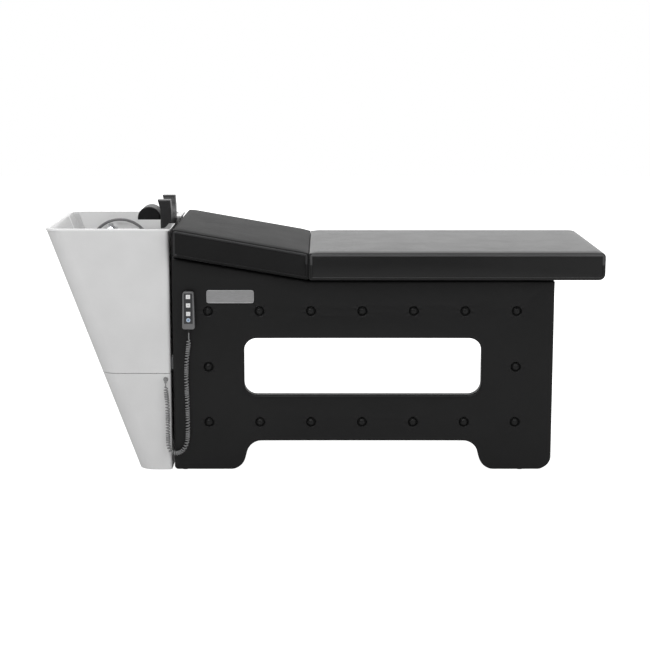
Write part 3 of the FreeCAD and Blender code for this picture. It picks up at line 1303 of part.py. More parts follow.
def seat():
    board = block("seat_board_block", ("seam_x + board_inset", "-(cushion_width / 2 - board_inset)",
                                       "seat_base"),
                  ("seat_length - 2 * board_inset", "cushion_width - 2 * board_inset", "board_thickness"))
    node("seat_board", board)
    soft = cushion("seat_form", measure("seam_x + seam_gap / 2"), measure("seat_length - seam_gap / 2"),
                   measure("seat_base"), measure("seat_thickness"), 0.0)
    tools = [board]
    for side, pocket_y, _, _ in hinge_bands():
        tools += hinge_pocket("seat_pocket_" + side, lambda distance: "seat_board_top", 1, pocket_y)
    node("seat_cushion", cut("seat_cushion_cut", soft, tools))


def backrest():
    """Board and cushion of the backrest, on a steady rise towards the basin."""
    near, far = "board_inset", "back_length - board_inset"

    def under(distance):
        return "back_base + (%s) * back_slope" % distance

    points = [("seam_x - (%s)" % far, under(far)), ("seam_x - (%s)" % near, under(near)),
              ("seam_x - (%s)" % near, board_top_back(near)), ("seam_x - (%s)" % far, board_top_back(far))]
    board = prism("backrest_board_body", "XZ", points, "-(cushion_width / 2 - board_inset)",
                  "cushion_width - 2 * board_inset")
    node("backrest_board", board)
    soft = cushion("backrest_form", measure("back_start"), measure("back_length - seam_gap / 2"),
                   measure("back_base + seam_gap / 2 * back_slope"), measure("back_thickness"),
                   measure("back_slope"))
    tools = [board]
    for side, pocket_y, _, _ in hinge_bands():
        tools += hinge_pocket("back_pocket_" + side, board_top_back, -1, pocket_y)
    node("backrest_cushion", cut("backrest_cushion_cut", soft, tools))


def hinge_leaf(name, side, base_z, across):
    """A cranked leaf: a foot on the board, an arm up to the seam and a knuckle round the pin."""
    def along(distance):
        return "seam_x %s (%s)" % ("+" if side > 0 else "-", distance)

    arm = "leaf_gap + leaf_width"
    foot = "leaf_gap + leaf_foot"
    points = [(along("leaf_gap"), "pivot_z"), (along("leaf_gap"), base_z("leaf_gap")),
              (along(foot), base_z(foot)), (along(foot), base_z(foot) + " + leaf_foot_thickness"),
              (along(arm), base_z(arm) + " + leaf_foot_thickness"), (along(arm), "pivot_z")]
    plate = prism(name + "_plate", "XZ", points, across, "leaf_thickness")
    knuckle = rod(name + "_knuckle", "Y", ("seam_x", across, "pivot_z"), "leaf_thickness", "knuckle_radius")
    web = block(name + "_web", (along("0" if side > 0 else arm), across, "pivot_z - knuckle_radius"),
                (arm, "leaf_thickness", "knuckle_radius"))
    bore = rod(name + "_bore", "Y", ("seam_x", "%s - overrun" % across, "pivot_z"),
               "leaf_thickness + 2 * overrun",
               "pin_radius + pin_play")
    return cut(name, union(name + "_solid", [plate, knuckle, web]), [bore])


def hinges():
    seat_leaves, back_leaves, pins = [], [], []
    for side, pocket_y, seat_y, back_y in hinge_bands():
        seat_leaves.append(hinge_leaf("seat_leaf_" + side, 1, lambda distance: "seat_board_top", seat_y))
        back_leaves.append(hinge_leaf("back_leaf_" + side, -1, board_top_back, back_y))
        pins.append(rod("hinge_pin_" + side, "Y", ("seam_x", "%s + pocket_play" % pocket_y, "pivot_z"),
                        "2 * leaf_thickness + leaf_play + 2 * pin_proud", "pin_radius"))
    node("hinge_seat_leaves", group("hinge_seat_leaves_group", seat_leaves))
    node("hinge_back_leaves", group("hinge_back_leaves_group", back_leaves))
    node("hinge_pins", group("hinge_pins_group", pins))


# Actuator

def ears(name, points, pin_x, pin_z, bore_radius):
    """Two bracket ears with a bore for their pin."""
    pieces = []
    for index, low in enumerate(("-ear_y - ear_thickness", "ear_y")):
        plate = prism("%s_plate_%d" % (name, index), "XZ", points, low, "ear_thickness")
        boss = rod("%s_boss_%d" % (name, index), "Y", (pin_x, low, pin_z), "ear_thickness", "ear_round")
        bore = rod("%s_bore_%d" % (name, index), "Y", (pin_x, "%s - overrun" % low, pin_z),
                   "ear_thickness + 2 * overrun", bore_radius)
        pieces.append(cut("%s_%d" % (name, index), union("%s_solid_%d" % (name, index), [plate, boss]),
                          [bore]))
    return pieces


def actuator_brackets():
    """Bracket under a cross tube, bracket under the backrest, and a pin in each."""
    fit = "actuator_pin_radius + pin_play"
    width = "2 * (ear_y + ear_thickness)"
    hang = [("actuator_x - ear_width / 2", "rail_z - ear_thickness"),
            ("actuator_x - ear_round", "actuator_z"),
            ("actuator_x + ear_round", "actuator_z"),
            ("actuator_x + ear_width / 2", "rail_z - ear_thickness")]
    flange = block("base_bracket_flange", ("actuator_x - ear_width / 2", "-(%s) / 2" % width,
                                           "rail_z - ear_thickness"),
                   ("ear_width", width, "ear_thickness"))
    node("actuator_base_bracket", union("base_bracket_solid",
                                        ears("base_ear", hang, "actuator_x", "actuator_z", fit)
                                        + [flange]))

    def under(along):
        return "back_base + (seam_x - (%s)) * back_slope" % along

    left, right = "bracket_x - ear_width", "bracket_x + ear_width"
    sole = [(left, under(left) + " - ear_thickness"), (right, under(right) + " - ear_thickness"),
            (right, under(right)), (left, under(left))]
    plate = prism("backrest_bracket_flange", "XZ", sole, "-(%s) / 2" % width, width)
    rise = [sole[0], ("bracket_x - ear_round", "bracket_z"), ("bracket_x + ear_round", "bracket_z"), sole[1]]
    node("backrest_bracket", union("backrest_bracket_solid",
                                   ears("backrest_ear", rise, "bracket_x", "bracket_z", fit)
                                   + [plate]))
    length = width + " + 2 * pin_proud"
    for name, along, up in (("actuator_rear_pin", "actuator_x", "actuator_z"),
                            ("actuator_front_pin", "bracket_x", "bracket_z")):
        node(name, rod(name + "_rod", "Y", (along, "-(%s) / 2" % length, up), length, "actuator_pin_radius"))


def lay_along_actuator(thing):
    """Turn a piece from the local X axis onto the line between the two pins."""
    thing.Placement = FreeCAD.Placement(Vector(), FreeCAD.Rotation(Vector(0, 1, 0), 180))
    bind(thing,
         Placement__Rotation__Angle="180 deg + atan((bracket_z - actuator_z) / (actuator_x - bracket_x))")
    place(thing, ("actuator_x", "0", "actuator_z"))
    return thing


def actuator():
    """Housing on the rear pin, its motor below, and the rod that pushes the backrest."""
    eye = rod("housing_eye", "Y", ("0", "-eye_width / 2", "0"), "eye_width", "eye_radius")
    neck = block("housing_neck", ("0", "-eye_width / 2", "-eye_radius / 2"),
                 ("tube_start", "eye_width", "eye_radius"))
    barrel = rod("housing_tube", "X", ("tube_start", "0", "0"), "tube_length", "tube_radius")
    gearbox = block("housing_gearbox", ("tube_start", "-gearbox_width / 2", "-gearbox_width / 2"),
                    ("gearbox_length", "gearbox_width", "gearbox_height"))
    eye_bore = rod("housing_eye_bore", "Y", ("0", "-eye_width / 2 - overrun", "0"), "eye_width + 2 * overrun",
                   "actuator_pin_radius + pin_play")
    rod_bore = rod("housing_rod_bore", "X", ("tube_start + gearbox_length", "0", "0"), "tube_length",
                   "rod_radius + pin_play")
    housing = cut("housing", union("housing_solid", [eye, neck, barrel, gearbox]), [eye_bore, rod_bore])
    node("actuator_housing", lay_along_actuator(housing))
    motor = rod("motor_can", "X", ("0", "0", "0"), "motor_length", "motor_radius")
    can = group("motor_group", [motor])
    bind(motor, Placement__Base__x="tube_start + gearbox_length", Placement__Base__z="motor_drop")
    node("actuator_motor", lay_along_actuator(can))
    shaft_start = "tube_start + tube_length - rod_hidden"
    shaft = rod("rod_shaft", "X", (shaft_start, "0", "0"), "actuator_reach - (%s)" % shaft_start,
                "rod_radius")
    rod_eye = rod("rod_eye", "Y", ("actuator_reach", "-eye_width / 2", "0"), "eye_width", "eye_radius")
    eye_hole = rod("rod_eye_hole", "Y", ("actuator_reach", "-eye_width / 2 - overrun", "0"),
                   "eye_width + 2 * overrun", "actuator_pin_radius + eye_play")
    node("actuator_rod", lay_along_actuator(cut("rod_cut", union("rod_solid", [shaft, rod_eye]), [eye_hole])))


def control_box():
    box = block("control_block", ("control_x", "-control_width / 2", "rail_z - control_height"),
                ("control_length", "control_width", "control_height"))
    node("control_box", box)


# Remote, hook, cord and plate

def key_spots():
    """Height of each square button's centre, then of the round one's."""
    squares = ["remote_top - key_first - %d * key_pitch" % index for index in range(SQUARE_KEY_COUNT)]
    return squares + ["%s - ring_drop" % squares[-1]]


def key_piece(name, index, height, low, depth, play):
    """A square or round button, or its well when play widens it."""
    if index < SQUARE_KEY_COUNT:
        half = "key_size / 2 + %s" % play
        return block(name, ("remote_x - (%s)" % half, low, "%s - (%s)" % (height, half)),
                     ("2 * (%s)" % half, depth, "2 * (%s)" % half))
    return rod(name, "Y", ("remote_x", low, height), depth, "ring_radius + %s" % play)


def remote():
    """Two shells, the keypad and four buttons that press inwards."""
    low_x, high_x = "remote_x - remote_width / 2", "remote_x + remote_width / 2"
    shape = [(low_x, "remote_bottom"), (high_x, "remote_bottom"),
             (high_x + " - remote_taper", "remote_top"), (low_x + " + remote_taper", "remote_top")]
    back = prism("remote_back_body", "XZ", shape, "-remote_joint", "remote_back")
    front = prism("remote_front_body", "XZ", shape, "-remote_face", "remote_thickness - remote_back")
    for name, body, face in (("back", back, "-remote_y"), ("front", front, "-remote_face")):
        round_edges(body, "remote_%s_corners" % name, "remote_corner_radius", across_plane("XZ", shape))
        round_edges(body, "remote_%s_edge" % name, "remote_edge_radius", on_level("y", face))
    slot_low = "hook_z - hook_lift"
    slot_width = "2 * (peg_radius + seat_play)"
    slot = block("remote_slot", ("remote_x - peg_radius - seat_play", "-remote_y - peg_length", slot_low),
                 (slot_width, "peg_length + overrun", "hook_lift"))
    ends = [rod("remote_slot_end_%d" % index, "Y", ("remote_x", "-remote_y - peg_length", height),
                "peg_length + overrun", "peg_radius + seat_play")
            for index, height in enumerate((slot_low, "hook_z"))]
    node("remote_back_shell", cut("remote_back_cut", back, [slot] + ends))
    pad_low = "remote_top - keypad_top - keypad_height"
    pad_corner = ("remote_x - keypad_width / 2", "-remote_face", pad_low)
    keypad = block("keypad_block", pad_corner, ("keypad_width", "keypad_depth", "keypad_height"))
    recess = block("keypad_recess", ("remote_x - keypad_width / 2", "-remote_face - overrun", pad_low),
                   ("keypad_width", "keypad_depth + overrun", "keypad_height"))
    wells, holes = [], []
    names = ("backrest_up_button", "backrest_down_button", "flat_button", "power_button")
    for index, (name, height) in enumerate(zip(names, key_spots())):
        well_depth = "key_thickness - key_proud + key_travel"
        wells.append(key_piece(name + "_well", index, height, "-remote_face", well_depth, "seat_play"))
        holes.append(key_piece(name + "_hole", index, height, "-remote_face - overrun",
                               "keypad_depth + 2 * overrun", "seat_play"))
        node(name, key_piece(name + "_cap", index, height, "-remote_face - key_proud", "key_thickness", "0"))
    node("remote_front_shell", cut("remote_front_cut", front, [recess] + wells))
    node("remote_keypad", cut("remote_keypad_cut", keypad, holes))
    node("remote_strain_relief", taper("relief_cone", "Z",
                                       ("remote_x", "-cord_y", "remote_bottom - relief_length"),
                                       "relief_length", "relief_radius * 2 / 3", "relief_radius"))


def remote_hook():
    plate = rod("hook_disc", "Y", ("remote_x", "-side_y - hook_plate", "hook_z"), "hook_plate", "hook_radius")
    peg = rod("hook_peg", "Y", ("remote_x", "-remote_y - peg_length + overrun / 2", "hook_z"),
              "peg_length + remote_gap - overrun / 2", "peg_radius")
    node("remote_hook", union("remote_hook_solid", [plate, peg]))


def plate():
    """Bare plate with a screw at each end."""
    shape = rectangle("panel_start + plate_start", "plate_top - plate_height",
                      "panel_start + plate_start + plate_length", "plate_top")
    body = prism("plate_body", "XZ", shape, "-side_y - plate_depth", "plate_depth")
    round_edges(body, "plate_corners", "plate_radius", across_plane("XZ", shape))
    node("side_plate", body)
    screws = [rod("plate_screw_%d" % index, "Y",
                  ("panel_start + plate_start + " + inset, "-side_y - plate_depth - rivet_height",
                   "plate_top - plate_height / 2"), "rivet_height", "rivet_radius")
              for index, inset in enumerate(("rivet_margin", "plate_length - rivet_margin"))]
    node("side_plate_screws", group("side_plate_screws_group", screws))


def spine_point(edges, lengths, distance):
    """Point and direction on a path at a distance from its start."""
    for edge, length in zip(edges, lengths):
        if distance <= length:
            parameter = edge.getParameterByLength(max(distance, 0.0))
            return edge.valueAt(parameter), edge.tangentAt(parameter)
        distance -= length
    end = edges[-1]
    return end.valueAt(end.LastParameter), end.tangentAt(end.LastParameter)


def curl_point(edges, lengths, distance, start, end, turns, radius):
    """Point of the curled wire at a distance along the spine; the curls grow in and die out."""
    centre, direction = spine_point(edges, lengths, distance)
    share = min(max((distance - start) / (end - start), 0.0), 1.0)
    swell = min(share, 1 - share) * turns
    reach = radius * (1.0 if swell >= 1 else swell * swell * (3 - 2 * swell))
    across = Vector(0, 1, 0)
    normal = across.cross(direction)
    angle = 2 * math.pi * turns * share
    return centre + normal * (reach * math.cos(angle)) + across * (reach * math.sin(angle))


def biarc(first, first_way, last, last_way):
    """Two arcs that leave one point and meet another in the given directions."""
    chord = last - first
    ways = first_way + last_way
    spread = 2 * (1 - first_way.dot(last_way))
    reach = chord.dot(ways)
    if spread < TOLERANCE ** 3:
        handle = chord.dot(chord) / (4 * chord.dot(last_way))
    else:
        handle = (math.sqrt(reach * reach + spread * chord.dot(chord)) - reach) / spread
    joint = (first + last + (first_way - last_way) * handle) * 0.5
    return arc_from(first, first_way, joint), arc_from(last, last_way * -1, joint, True)


def arc_from(start, way, end, flip=False):
    """The arc from a point and its direction to another point."""
    chord = end - start
    unit = Vector(chord).normalize()
    side = way - unit * way.dot(unit)
    if side.Length < TOLERANCE ** 2:
        return Part.LineSegment(end, start) if flip else Part.LineSegment(start, end)
    half_turn = math.atan2(side.Length, way.dot(unit))
    middle = start + chord * 0.5 + side.normalize() * (chord.Length / 2 * math.tan(half_turn / 2))
    return Part.Arc(end, middle, start) if flip else Part.Arc(start, middle, end)


def cord_route():
    """The route in place: its two legs reach from the lowest point to the remote and to the gland."""
    across, corner = -measure("cord_y"), measure("rim_end")
    low = min(up for _, up in CORD_ROUTE)
    turn = [up for _, up in CORD_ROUTE].index(low)
    legs = (
        (CORD_ROUTE[:turn], CORD_ROUTE[0], ("remote_x", "remote_bottom - relief_length - cord_gap")),
        (CORD_ROUTE[turn:], CORD_ROUTE[-1], ("cord_gland_x",
                                             "cord_gland_height - cord_gland_drop - cord_gap")),
    )
    route = []
    for leg, end, (end_x, end_z) in legs:
        shift = measure(end_x) - corner - end[0]
        rise = measure(end_z) - end[1]
        for along, up in leg:
            share = (up - low) / (end[1] - low)
            route.append(Vector(corner + along + shift * share, across, up + rise * share))
    return route


def remote_cord():
    """Curly cord: one unbroken wire whose curls follow the hanging loop."""
    wire, radius = measure("wire_radius"), measure("curl_radius")
    route = cord_route()
    edges, radii, length = rounded_path(route)
    lengths = [edge.Length for edge in edges]
    start, end = measure("curl_start"), length - measure("curl_end")
    step = wire * TOLERANCE

    def spot(distance):
        return curl_point(edges, lengths, distance, start, end, CORD_TURNS, radius)

    marks = [start + (end - start) * index / (2 * CORD_TURNS) for index in range(2 * CORD_TURNS + 1)]
    spots = [spot(mark) for mark in marks]
    ways = [(spot(mark + step) - spot(mark - step)).normalize() for mark in marks]
    ways[0], ways[-1] = spine_point(edges, lengths, start)[1], spine_point(edges, lengths, end)[1]
    curves = [Part.LineSegment(route[0], spots[0])]
    for index in range(len(marks) - 1):
        curves += biarc(spots[index], ways[index], spots[index + 1], ways[index + 1])
    curves.append(Part.LineSegment(spots[-1], route[-1]))
    wires = [curve.toShape() for curve in curves]
    solid = sweep(wires, wire)
    ratio = solid.Volume / (math.pi * wire ** 2 * sum(edge.Length for edge in wires))
    if abs(ratio - 1) > VOLUME_TOLERANCE:
        raise ValueError("the cord has %.3f of its volume" % ratio)
    print("remote_cord: spine %.1f, wire %.1f, radii %s" % (
        length, sum(edge.Length for edge in wires), ", ".join("%.0f" % bend for bend in radii)))
    print("remote_cord: least gap to itself %.2f" % least_gap(wires, wire))
    feature = doc.addObject("Part::Feature", "remote_cord_wire")
    feature.Shape = solid
    node("remote_cord", feature)


def least_gap(edges, wire):
    """Least gap between a wire's own turns, measured on points along it."""
    points, marks, travelled = [], [], 0.0
    for edge in edges:
        points += edge.discretize(ARC_SAMPLES + 1)[:-1]
        marks += [travelled + edge.Length * index / ARC_SAMPLES for index in range(ARC_SAMPLES)]
        travelled += edge.Length
    skip = 6 * wire
    least = float("inf")
    for index, point in enumerate(points):
        for other in range(index + 1, min(index + CURL_SAMPLES, len(points))):
            if marks[other] - marks[index] > skip:
                least = min(least, point.distanceToPoint(points[other]))
    return least - 2 * wire


def cord_gland():
    """Gland on the lower casing: a plate, a short neck and a collar that points down."""
    disc = rod("cord_gland_disc", "Y", ("cord_gland_x", "-basin_width / 2 - cord_gland_plate",
                                        "cord_gland_height"),
               "cord_gland_plate", "cord_gland_radius")
    neck = rod("cord_gland_neck_rod", "Y", ("cord_gland_x", "-cord_y - cord_gland_neck / 2",
                                            "cord_gland_height"),
               "cord_y + cord_gland_neck / 2 - basin_width / 2", "cord_gland_neck")
    collar = rod("cord_gland_sleeve", "Z", ("cord_gland_x", "-cord_y", "cord_gland_height - cord_gland_drop"),
                 "cord_gland_drop", "cord_gland_collar")
    node("cord_gland", union("cord_gland_solid", [disc, neck, collar]))


def check_and_export():
    """Stop on any failed object, then write each sub-part's file."""
    doc.recompute()
    for thing in doc.Objects:
        if {"Invalid", "Error"} & set(thing.State):
            raise ValueError("%s failed: %s" % (thing.Name, thing.State))
    os.makedirs("parts", exist_ok=True)
    for thing in NODES:
        if thing.Shape.isNull() or not thing.Shape.isValid():
            raise ValueError(thing.Label + " has no valid shape")
    for thing in NODES:
        thing.Shape.exportStep(os.path.join("parts", thing.Label + ".step"))
    print("%d sub-parts written" % len(NODES))


for build_step in (
    upper_casing, lower_casing, basin_bowl, drain, trap, supply_hoses, pedestal_frame,
    link_brackets, mixer, shower, neck_parts, side_panels, cross_panels, base_frame, levelling_feet,
    backrest_stops, seat, backrest, hinges, actuator_brackets, actuator, control_box, remote, remote_hook,
    plate, remote_cord, cord_gland,
):
    build_step()

check_and_export()
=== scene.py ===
import bmesh
import bpy
import json
import math
import numpy as np
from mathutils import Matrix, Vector
from mathutils.bvhtree import BVHTree


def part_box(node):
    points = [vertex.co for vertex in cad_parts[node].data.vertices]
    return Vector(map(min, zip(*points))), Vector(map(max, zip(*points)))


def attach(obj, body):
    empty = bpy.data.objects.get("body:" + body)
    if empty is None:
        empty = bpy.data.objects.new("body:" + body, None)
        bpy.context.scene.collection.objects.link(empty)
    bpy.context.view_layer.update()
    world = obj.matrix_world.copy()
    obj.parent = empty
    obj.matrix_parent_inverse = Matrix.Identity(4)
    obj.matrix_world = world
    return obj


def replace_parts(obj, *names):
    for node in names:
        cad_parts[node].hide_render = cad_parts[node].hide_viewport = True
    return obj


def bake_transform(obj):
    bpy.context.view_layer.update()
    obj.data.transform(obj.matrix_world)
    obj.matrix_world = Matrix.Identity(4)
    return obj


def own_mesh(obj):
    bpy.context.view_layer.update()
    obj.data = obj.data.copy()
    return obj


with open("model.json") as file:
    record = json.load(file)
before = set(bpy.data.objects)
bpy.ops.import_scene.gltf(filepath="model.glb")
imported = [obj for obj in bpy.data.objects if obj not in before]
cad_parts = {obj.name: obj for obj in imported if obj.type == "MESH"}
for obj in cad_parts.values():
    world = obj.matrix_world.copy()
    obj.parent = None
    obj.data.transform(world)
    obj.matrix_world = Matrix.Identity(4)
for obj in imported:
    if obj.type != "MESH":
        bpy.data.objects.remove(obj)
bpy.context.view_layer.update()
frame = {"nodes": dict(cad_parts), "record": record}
NODES = frame["nodes"]
SCENE = bpy.context.scene

# Camera

CAMERA_PLACE = (0.004, -6.510, 1.657)
CAMERA_DOWN = 9.87
CAMERA_LENS = 89.17
CAMERA_SENSOR = 36.0
LEVEL = 90.0

# Routes of the cords as (x, z) control points in metres, the same as the solids' routes

REMOTE_CORD_Y = -0.3558
REMOTE_CORD_ROUTE = (
    (-0.5250, 0.5562), (-0.5250, 0.5320), (-0.5276, 0.5000), (-0.5344, 0.4520), (-0.5372, 0.3920),
    (-0.5362, 0.3320), (-0.5344, 0.2720), (-0.5336, 0.2160), (-0.5339, 0.1680), (-0.5346, 0.1380),
    (-0.5384, 0.1150), (-0.5469, 0.0950), (-0.5589, 0.0815), (-0.5733, 0.0745), (-0.5863, 0.0740),
    (-0.5982, 0.0793), (-0.6073, 0.0901), (-0.6119, 0.1065), (-0.6126, 0.1300), (-0.6125, 0.1720),
    (-0.6119, 0.2300), (-0.6134, 0.2860), (-0.6176, 0.3220), (-0.6189, 0.3400), (-0.6189, 0.3557),
)
CORD_TURNS = 84
CORD_CURL_RADIUS = 0.0066
CORD_RADIUS = 0.0024
CORD_STRAIGHT_START = 0.024
CORD_STRAIGHT_END = 0.010
CORD_RESOLUTION = 2
POINTS_PER_TURN = 14
PITCH_DRIFT = 0.35
PITCH_WAVES = 9

HOSE_Y = 0.295
HOSE_ROUTE = (
    (-0.9774, 0.8608), (-0.9674, 0.8781), (-0.9436, 0.9019), (-0.9144, 0.9188), (-0.8819, 0.9275),
    (-0.8481, 0.9275), (-0.8156, 0.9188), (-0.7864, 0.9019), (-0.7682, 0.8837), (-0.7510, 0.8724),
    (-0.7335, 0.8675), (-0.7160, 0.8675),
)
HOSE_RADIUS = 0.006
HOSE_RESOLUTION = 12

# Cushions: outlines, edges, crowns and the room left for hard parts

CUSHION_STEP = 0.0105
ARC_STEPS = 6
LONG_EDGE = 0.0045
LONG_EDGE_STEPS = 5
EDGE_ROLL = 0.0052
EDGE_LIFT = 0.0042
ROLL_WIDTH = 0.030
END_FADE = 0.03
HELD_SIDE = 0.012
HELD_END = 0.008
HELD_FADE = 0.05
SEAM_TUCK = 0.1
SEAT_RADII = (0.008, 0.024, 0.015, 0.005)
BACK_RADII = (0.010, 0.008, 0.005, 0.009)
SEAT_CROWN = 0.001
BACK_CROWN = 0.003
BACK_SLOPE = 90.0 / 525.0
BACK_TOP_SLOPE = 0.176
SEAM_FILL = 0.0006
PIPING_INSET = 0.0088
PIPING_RADIUS = 0.0048
PIPING_PROUD = 0.65
PIPING_SPLIT = 0.060
BOARD_ROOM = 0.0008
HINGE_ROOM = 0.0015

# Side pads: the planes of their two faces, their mesh and what stays flat

PANEL_FACE = 0.340
BOARD_FACE = 0.318
FLAT = 0.0001
NEARLY_FLAT = 0.0004
PAD_VOXEL = 0.0095
BACK_BAND = 0.006
REFINED_BAND = 0.008
REFINED_REACHES = (0.046, 0.036)
BUTTON_HELD = 0.017
BUTTON_FADE = 0.006
FITTING_MARGIN = 0.012
FITTING_FADE = 0.03
WRAP = 0.0034
WRAP_WIDTH = 0.03

# The trench and the pulled folds round each button

FOLD_REACH = 0.06
FOLD_START = 0.01
FOLD_FADE = 0.006
TRENCH_RADIUS = 0.0145
TRENCH_HALF = 0.0055
TRENCH_DEPTH = 0.0035
RING_RADIUS = 0.026
RING_WIDTH = 0.009
RING_DEPTH = 0.00035

# Stuffing: pressure of the cloth, the rise that its swelling is scaled to, and how full it is

PRESSURE = 4.0
CUSHION_RISE = 0.0022
PAD_RISE = 0.0013
PAD_SHRINK = 0.002

# Buttons of the upholstery, as a profile of (radius, height)

BUTTON_PROFILE = (
    (0.0, 0.0072), (0.003, 0.0071), (0.006, 0.0066), (0.009, 0.0056), (0.0112, 0.0038),
    (0.0124, 0.0018), (0.0125, 0.0), (0.0118, -0.0018), (0.0100, -0.0026),
)
BUTTON_SIDES = 28
BUTTON_SINK = 0.0035
BUTTON_APART = 0.03

# Prints on the remote's keys and the plate's rim

PRINT_PROUD = 0.00012
PRINT_SHARE = 0.22
BAR_HALF = 0.0006
ARROW_FOOT = 0.0018
ARROW_TIP = 0.0028
RING_SHARE = 0.80
CENTRE_SHARE = 0.40
LAMP_RADIUS = 0.0015
PLATE_RIM_INSET = 0.0016
PLATE_RIM_CORNER = 0.006
PLATE_RIM_STEP = 0.01
PLATE_RIM_RADIUS = 0.0011

# Studio: strength of its sky, and what gloss reflects before, behind and above the bed

SKY_LIGHT = 0.62
GLOSS_BEFORE = 0.17
GLOSS_BEHIND = 1.15
WALL_TURN = (-0.3, 0.5)
GLOSS_ABOVE = 2.4
CEILING_TURN = (0.80, 0.95)
WHITE = (1, 1, 1, 1)
FLOOR_HALF = 14.0
FLOOR_DROP = 0.0005


# Node building

def add_node(tree, kind, values=(), **settings):
    """A node with its settings, then its input sockets by name: a number, a colour or another socket."""
    made = tree.nodes.new(kind)
    for key, value in settings.items():
        setattr(made, key, value)
    for key, value in dict(values).items():
        socket = made.inputs[key]
        if isinstance(value, bpy.types.NodeSocket):
            tree.links.new(value, socket)
        else:
            socket.default_value = value
    return made


def place_of(tree, stretch=(1.0, 1.0, 1.0)):
    """Object coordinates, stretched where a grain runs along one axis."""
    coordinates = add_node(tree, "ShaderNodeTexCoord")
    mapping = add_node(tree, "ShaderNodeMapping", {"Vector": coordinates.outputs["Object"], "Scale": stretch})
    return mapping.outputs["Vector"]


def noise(tree, vector, scale, detail=2.0, rough=0.5, distortion=0.0):
    made = add_node(tree, "ShaderNodeTexNoise", {"Vector": vector, "Scale": scale, "Detail": detail,
                                                 "Roughness": rough, "Distortion": distortion})
    return made.outputs["Fac"]


def ramp(tree, value, stops):
    """A colour ramp between positions from 0 to 1."""
    made = add_node(tree, "ShaderNodeValToRGB", {"Fac": value})
    elements = made.color_ramp.elements
    while len(elements) < len(stops):
        elements.new(0.5)
    for element, (position, colour) in zip(elements, stops):
        element.position = position
        element.color = (*colour, 1.0)
    return made.outputs["Color"]


def spread(tree, value, low, high, start=0.3, end=0.7):
    """A value between start and end mapped to low and high."""
    made = add_node(tree, "ShaderNodeMapRange", {"Value": value, "From Min": start, "From Max": end,
                                                 "To Min": low, "To Max": high})
    return made.outputs["Result"]


def shade(colour, factor):
    return tuple(min(channel * factor, 1.0) for channel in colour)


def bump(tree, height, depth, strength=1.0, normal=None):
    values = {"Height": height, "Distance": depth, "Strength": strength}
    if normal is not None:
        values["Normal"] = normal
    return add_node(tree, "ShaderNodeBump", values).outputs["Normal"]


def surface(name, roughness=0.5, metallic=0.0, specular=0.5, **sockets):
    """A new material and its shader, with constant values on the shader itself."""
    made = bpy.data.materials.new(name)
    made.use_nodes = True
    tree = made.node_tree
    shader = tree.nodes["Principled BSDF"]
    shader.inputs["Roughness"].default_value = roughness
    shader.inputs["Metallic"].default_value = metallic
    shader.inputs["Specular IOR Level"].default_value = specular
    for key, value in sockets.items():
        shader.inputs[key.replace("_", " ")].default_value = value
    return made, tree, shader


def connect(tree, shader, colour=None, roughness=None, normal=None):
    for name, socket in (("Base Color", colour), ("Roughness", roughness), ("Normal", normal)):
        if socket is not None:
            tree.links.new(socket, shader.inputs[name])


# Materials

def vinyl(name, colour, roughness, specular):
    """Upholstery vinyl: fine pebbled grain, soft creases, and wear that changes its gloss."""
    made, tree, shader = surface(name, specular=specular)
    where = place_of(tree)
    cells = add_node(tree, "ShaderNodeTexVoronoi", {"Vector": where, "Scale": 620.0, "Randomness": 1.0},
                     feature="DISTANCE_TO_EDGE")
    pebble = spread(tree, cells.outputs["Distance"], 0.0, 1.0, 0.0, 0.35)
    fine = noise(tree, where, 1800.0, 3.0)
    crease = noise(tree, where, 26.0, 4.0, 0.6, 0.6)
    relief = bump(tree, crease, 0.0012, 0.12)
    relief = bump(tree, pebble, 0.00022, 0.45, relief)
    relief = bump(tree, fine, 0.00008, 0.35, relief)
    worn = noise(tree, where, 5.0, 3.0, 0.55)
    tint = ramp(tree, worn, ((0.25, shade(colour, 0.78)), (0.75, shade(colour, 1.22))))
    gloss = spread(tree, noise(tree, where, 9.0, 5.0, 0.6), roughness - 0.02, roughness + 0.03)
    connect(tree, shader, tint, gloss, relief)
    return made


def moulded(name, colour, roughness, scale=160.0, depth=0.0002, specular=0.5, **sockets):
    """Moulded plastic or rubber: orange-peel relief, slight tone and gloss changes."""
    made, tree, shader = surface(name, specular=specular, **sockets)
    where = place_of(tree)
    tone = noise(tree, where, 7.0, 3.0)
    tint = ramp(tree, tone, ((0.2, shade(colour, 0.95)), (0.8, shade(colour, 1.05))))
    gloss = spread(tree, noise(tree, where, 21.0, 4.0), roughness * 0.85, roughness * 1.15)
    relief = bump(tree, noise(tree, where, scale, 3.0, 0.55), depth, 0.3)
    connect(tree, shader, tint, gloss, relief)
    return made


def textured(name, colour, roughness, scale=900.0, depth=0.00012, specular=0.4):
    """Spark-eroded plastic or soft rubber with a fine matt texture and dust in it."""
    made, tree, shader = surface(name, specular=specular)
    where = place_of(tree)
    grit = noise(tree, where, scale, 4.0, 0.65)
    dust = noise(tree, where, 14.0, 5.0, 0.6)
    tint = ramp(tree, dust, ((0.3, shade(colour, 0.86)), (0.62, colour), (0.85, shade(colour, 1.3))))
    gloss = spread(tree, grit, roughness - 0.08, roughness + 0.1)
    connect(tree, shader, tint, gloss, bump(tree, grit, depth, 0.5))
    return made


def polished(name, colour, roughness):
    """Chrome plate with faint water marks and micro scratches."""
    made, tree, shader = surface(name, metallic=1.0)
    where = place_of(tree)
    marks = noise(tree, where, 60.0, 6.0, 0.7)
    scratches = noise(tree, place_of(tree, (1.0, 1.0, 40.0)), 90.0, 2.0)
    tint = ramp(tree, marks, ((0.3, shade(colour, 0.93)), (0.7, colour)))
    gloss = spread(tree, marks, roughness, roughness + 0.07, 0.45, 0.75)
    connect(tree, shader, tint, gloss, bump(tree, scratches, 0.00003, 0.2))
    return made


